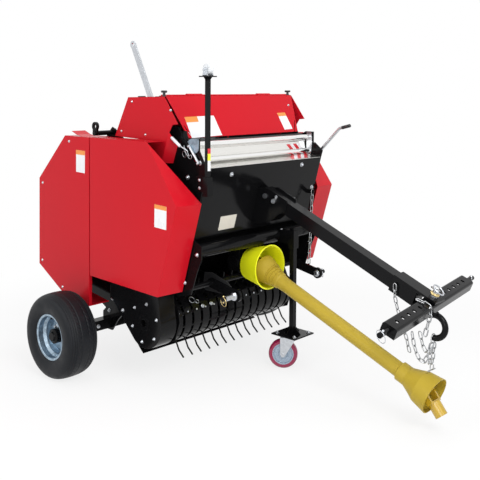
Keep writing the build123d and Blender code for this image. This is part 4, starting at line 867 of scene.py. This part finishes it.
def make_net_trim():
    knobs = Piece("lid_knobs", "chassis", "black_plastic")
    knob(knobs, (446, -446, 1350), 30)
    knob(knobs, (446, 446, 1350), 30)
    knobs.done()
    straps = Piece("lid_straps", "chassis", "black_plastic")
    for side in (-1, 1):
        slab(straps, [(418, side * 452, 1352.4), (462, side * 452, 1352.4), (462, side * 436, 1352.4),
                      (418, side * 436, 1352.4)][::-side], 3.2)
    straps.done()
    bars = Piece("lever_stops", "chassis", "black_plastic")
    for x0, x1 in ((262, 288), (388, 412)):
        slab(bars, [(x0, -450, 1347), (x1, -450, 1347.6), (x1, -424, 1347.6), (x0, -424, 1347)], 5,
             Vector((0, 0, 1)))
    bars.done()
    # The near cheek's opening, with its sleeved pin and clip. The opening's dark is a black film laid on the
    # cheek: painted shade.
    sticker("cheek_slot_painted_shade", "chassis", ["net_end_right"],
            [(171.4, 126), (178.0, 126), (182.5, 136), (178.5, 146), (171.6, 146)], "black_plastic",
            "black_plastic")
    handle = Piece("cheek_handle", "chassis", "white_nylon")
    lathe(handle, (497, -447, 1166), (55, 8, -41), [(4.5, 0), (7, 4), (7.4, 30), (7, 62), (4.5, 67)], 18)
    handle.done()
    pin = Piece("cheek_pin", "chassis", "zinc")
    rod(pin, (545, -440, 1130), (585, -426, 1106), 2.8, 12)
    r_clip(pin, (566, -436, 1124), (0.62, 0.0, -0.78), (0.78, 0.0, 0.62), 1.45, 1.2)
    wire(pin, circle((574, -436, 1092), (0.2, 1, 0.2), 15, 28), 1.2, closed=True)
    pin.done(sharp=60)
    screws = Piece("net_box_screws", "chassis", "zinc")
    seen_bolts(screws, ["net_end_right"], [(170.7, 110.3)], 8, 4)
    side_bolts(screws, ["net_end_right", "net_end_left"], [(150, 1180), (230, 1325), (330, 1170)], 8,
               3.5, dome=True)
    screws.done()
    lid_screws = Piece("lid_screws", "lid", "zinc")
    seen_bolts(lid_screws, ["net_lid"], [(288.3, 105.2)], 8, 3.5, dome=True)
    lid_screws.done()
    # The far cheek's opening, as a black film laid on the cheek: painted shade.
    sticker("far_cheek_slot_painted_shade", "chassis", ["net_end_left"],
            [(295.5, 118.6), (301.8, 118.0), (304.6, 124.0), (303.0, 130.3), (301.4, 130.2)], "black_plastic",
            "black_plastic")
    # Labels on the lid, left blank
    banded_label("lid_label_near", "lid", ["net_lid"],
                 [(184.4, 117.1), (213.6, 115.6), (222.2, 135.2), (192.0, 138.2)],
                 0.26, "ochre_plastic", "label_amber", width=0.42)
    banded_label("lid_label_far", "lid", ["net_lid"],
                 [(277.0, 113.0), (284.6, 112.5), (292.6, 128.8), (284.6, 129.6)],
                 0.2, "ochre_plastic", "label_amber")
    # Red and white hazard tape on the tray
    stripes = (("tape_low", [(290.5, 153.9), (306.8, 152.4), (307.6, 157.6), (291.3, 159.1)], 5),
               ("tape_high", [(286.2, 144.4), (299.2, 143.2), (303.2, 148.9), (290.6, 150.0)], 4))
    for name, corners, count in stripes:
        for k in range(count):
            a, b = k / count, (k + 1) / count
            top = [part_way(corners[0], corners[1], a), part_way(corners[0], corners[1], b)]
            low = [part_way(corners[3], corners[2], b), part_way(corners[3], corners[2], a)]
            look = "label_red" if k % 2 == 0 else "label_white"
            slot = "red_paint" if k % 2 == 0 else "white_nylon"
            sticker(f"{name}_{k}", "chassis", ["net_tray"], top + low, slot, look, 0.4)
    # Roller end brackets
    box = Piece("roller_brackets", "chassis", "zinc")
    for side in (-1, 1):
        y = side * 406.5
        outline = [(612, y, 1166), (642, y, 1166), (648, y, 1110), (640, y, 1048), (612, y, 1048)]
        slab(box, outline[::side], 3.5, Vector((0, side, 0)))
    box.done()
    # The near end's bright bracket and its short arm, on the side plate
    outward = Vector((0, -1, 0))
    bracket = Piece("roller_plate_near", "chassis", "zinc", "rim_zinc")
    corners = ((578, 1149), (602, 1163), (650, 1163), (650, 1113), (632, 1098), (600, 1118))
    slab(bracket, [(x, -PLATE_Y - 0.2, z) for x, z in corners][::-1], 2.5, outward)
    bracket.done()
    near = Piece("roller_arm_near", "chassis", "zinc")
    a, b = Vector((598, -PLATE_Y - 9, 1128)), Vector((657, -PLATE_Y - 9, 1056))
    wire(near, [a, a.lerp(b, 0.5), b], 6.5, sides=14)
    for end in (a, b):
        bolt(near, end + outward * -8.5, outward, across=14, height=16)
    near.done(sharp=60)


def make_side_trim():
    banded_label("gate_label", "tailgate", ["gate_cover_right"],
                 [(76.2, 149.8), (85.0, 151.0), (84.8, 173.4), (76.2, 171.6)], 0.2, "ochre_plastic",
                 "label_amber")
    banded_label("door_label", "right_door", ["door_right"],
                 [(154.6, 204.2), (166.6, 207.0), (166.2, 230.2), (154.4, 227.0)], 0.18, "ochre_plastic",
                 "label_amber")
    # The same blank labels on the far side
    for name, body, node, corners in (
            ("gate_label_far", "tailgate", "gate_cover_left",
             [(-80, 1080), (-4, 1080), (-4, 972), (-80, 972)]),
            ("door_label_far", "left_door", "door_left", [(519, 875), (600, 872), (600, 770), (519, 770)])):
        found = [land([node], (x, 900, z), (0, -1, 0)) for x, z in corners]
        if None not in found:
            piece = Piece(name, body, "white_nylon", "label_white")
            slab(piece, [p + n * 0.1 for p, n in found][::-1], 0.5, Vector((0, 1, 0)))
            piece.done()
    sticker("panel_plate", "chassis", ["front_panel"],
            [(220.8, 216.7), (236.9, 214.0), (233.8, 227.4), (217.9, 230.5)], "white_nylon", "label_grey",
            0.8)
    pole = (("red", 1127, 1104, "red_paint", "label_red"),
            ("yellow", 1104, 1074, "lemon_plastic", "label_yellow"),
            ("white", 1074, 1028, "white_nylon", "label_white"))
    for name, high, low, slot, look in pole:
        piece = Piece("pole_strip_" + name, "stowed_leg", slot, look)
        slab(piece, [(731.2, -442, low), (731.2, -425, low), (731.2, -425, high), (731.2, -442, high)], 0.8,
             Vector((1, 0, 0)))
        piece.done()


def make_bolts():
    steel = Piece("frame_bolts", "chassis", "zinc")
    seen_bolts(steel, ["side_plate_right"], [(187.8, 177.5), (200.3, 180.0), (200.3, 188.0)], 15, 7)
    seen_bolts(steel, ["front_panel"],
               [(231.5, 174.3), (301.6, 164.5), (311.4, 186.8), (293.6, 199.3)], 14, 6)
    seen_bolts(steel, ["side_plate_left", "front_beam", "cross_tube", "front_panel"],
               [(281, 230.5), (293.6, 231), (286, 241)], 14, 7)
    seen_bolts(steel, ["axle_arms", "side_plate_right", "pickup_side_right", "axle"],
               [(113.0, 298.3), (97.5, 301.8), (109.6, 310.2), (98.5, 326.3), (129.0, 292.0)], 13, 6)
    seen_bolts(steel, ["pickup_side_right", "pickup_case", "pickup_bands"],
               [(123.0, 310.2), (121.0, 322.5), (202.7, 305.6), (211.1, 303.1)], 12, 6)
    seen_bolts(steel, ["link_arms"], [(299.6, 272.8), (306.5, 277.2)], 20, 8)
    side_bolts(steel, ["side_plate_right", "side_plate_left"],
               [(140, 1060), (300, 1110), (560, 500), (640, 640)], 13, 6)
    side_bolts(steel, ["axle_arms"], [(40, 330), (120, 330), (40, 440), (120, 440)], 15, 7)
    steel.done()
    case = Piece("pickup_case_bolts", "chassis", "zinc")
    for k in range(6):
        angle = math.radians(60 * k + 20)
        start = (REEL_X + 92 * math.cos(angle), -900, REEL_Z + 92 * math.sin(angle))
        found = land(["pickup_case"], start, (0, 1, 0))
        if found:
            bolt(case, *found, across=10, height=5)
    case.done()
    bands = Piece("band_screws", "chassis", "zinc")
    for k in range(15):
        y = -403.9 + 57.7 * k
        found = land(["pickup_bands"], (900, y, 400), (-1, 0, -0.15))
        if found:
            bolt(bands, *found, across=8, height=3, washer=False, dome=True)
    bands.done()
    gate = Piece("gate_bolts", "tailgate", "zinc")
    side_bolts(gate, ["gate_cover_right", "gate_cover_left"],
               [(-140, 1120), (-380, 890), (-385, 480), (-200, 370)], 9, 3.5, dome=True)
    gate.done()
    caster = Piece("leg_plate_bolts", "leg", "zinc")
    for dx in (-55, 55):
        for dy in (-55, 55):
            found = land(["stand_leg"], (735 + dx, 150 + dy, 300), (0, 0, -1))
            if found:
                bolt(caster, *found, across=13, height=6)
    caster.done()


def make_shaft_trim():
    """The rear bell of the shaft's shield, and the caps of its crosses."""
    along = Vector((SHAFT_COS, 0, -SHAFT_SIN))
    start = Vector(JOINT)
    bell = Piece("shield_bell", "drive_shaft", "ochre_plastic")
    axis, side, other = square_to(along)
    outline = [(62, 26), (68, 28), (69, 36), (66, 52), (62, 66), (57, 80), (55, 92), (52.6, 92),
               (52.6, 80), (59, 64), (63, 50), (65, 36)]
    rings = [[start + along * u + (side * math.cos(a) + other * math.sin(a)) * r
              for a in (2 * math.pi * j / 56 for j in range(56))] for r, u in outline]
    bell.grid(rings, closed_along=True)
    bell.done()
    caps = Piece("joint_caps", "drive_shaft", "yellow_paint")
    for u in (0.0, 1000.0):
        for sign in (-1, 1):
            lathe(caps, start + along * u, (0, sign, 0), [(14.5, 34), (14.5, 36.5), (12, 38)], 24)
    caps.done()


def make_enclosure():
    """Dark sheets behind the pickup, under the gate covers and behind the lid's slit, the crank's grip
    and the caster's top plate."""
    sheet = Piece("pickup_back_sheet", "chassis", "black_paint")
    back_line = [(-SHEET_INNER, SHEET_TOP, -SHEET_OUTER, SHEET_TOP)]
    for degrees in range(180, 236, 5):
        cos_a, sin_a = math.cos(math.radians(degrees)), math.sin(math.radians(degrees))
        back_line.append((SHEET_INNER * cos_a, SHEET_INNER * sin_a, SHEET_OUTER * cos_a, SHEET_OUTER * sin_a))
    sheet.grid([[(REEL_X + x, y, REEL_Z + z) for x, z, y in
                 ((ax, az, -SHEET_HALF), (ax, az, SHEET_HALF), (bx, bz, SHEET_HALF), (bx, bz, -SHEET_HALF))]
                for ax, az, bx, bz in back_line])
    sheet.done()
    skirts = Piece("gate_skirts", "tailgate", "black_paint")
    skirt_line = ((24, 470), (-190, 470), (-215, 330), (-110, 298), (-40, 262), (8, 262), (24, 318))
    for side in (-1, 1):
        slab(skirts, [(x, side * 408, z) for x, z in skirt_line], 2, Vector((0, side, 0)))
    skirts.done()
    end = Piece("brush_end_plate", "chassis", "black_paint")
    slab(end, [(x, -413, z) for x, z in ((526, 1196), (566, 1196), (580, 1146), (540, 1146))], 2,
         Vector((0, -1, 0)))
    end.done()
    grip = Piece("crank_grip", "chassis", "black_plastic")
    rod(grip, (816, 440, 1191), (867, 440, 1204), 9, 18, 2)
    grip.done()
    plate = Piece("caster_plate", "leg", "zinc")
    slab(plate, [(683, 108, 166.2), (787, 108, 166.2), (787, 192, 166.2), (683, 192, 166.2)], 3.6,
         Vector((0, 0, 1)))
    plate.done()


make_camera()
make_floor()
make_light()
make_materials()
paint_nodes()
for wheel_side, wheel_name in ((-1, "right"), (1, "left")):
    make_tyre(wheel_side, wheel_name)
make_chains()
make_clips()
make_net_trim()
make_side_trim()
make_bolts()
make_shaft_trim()
make_enclosure()

bpy.context.scene.view_settings.view_transform = "Standard"
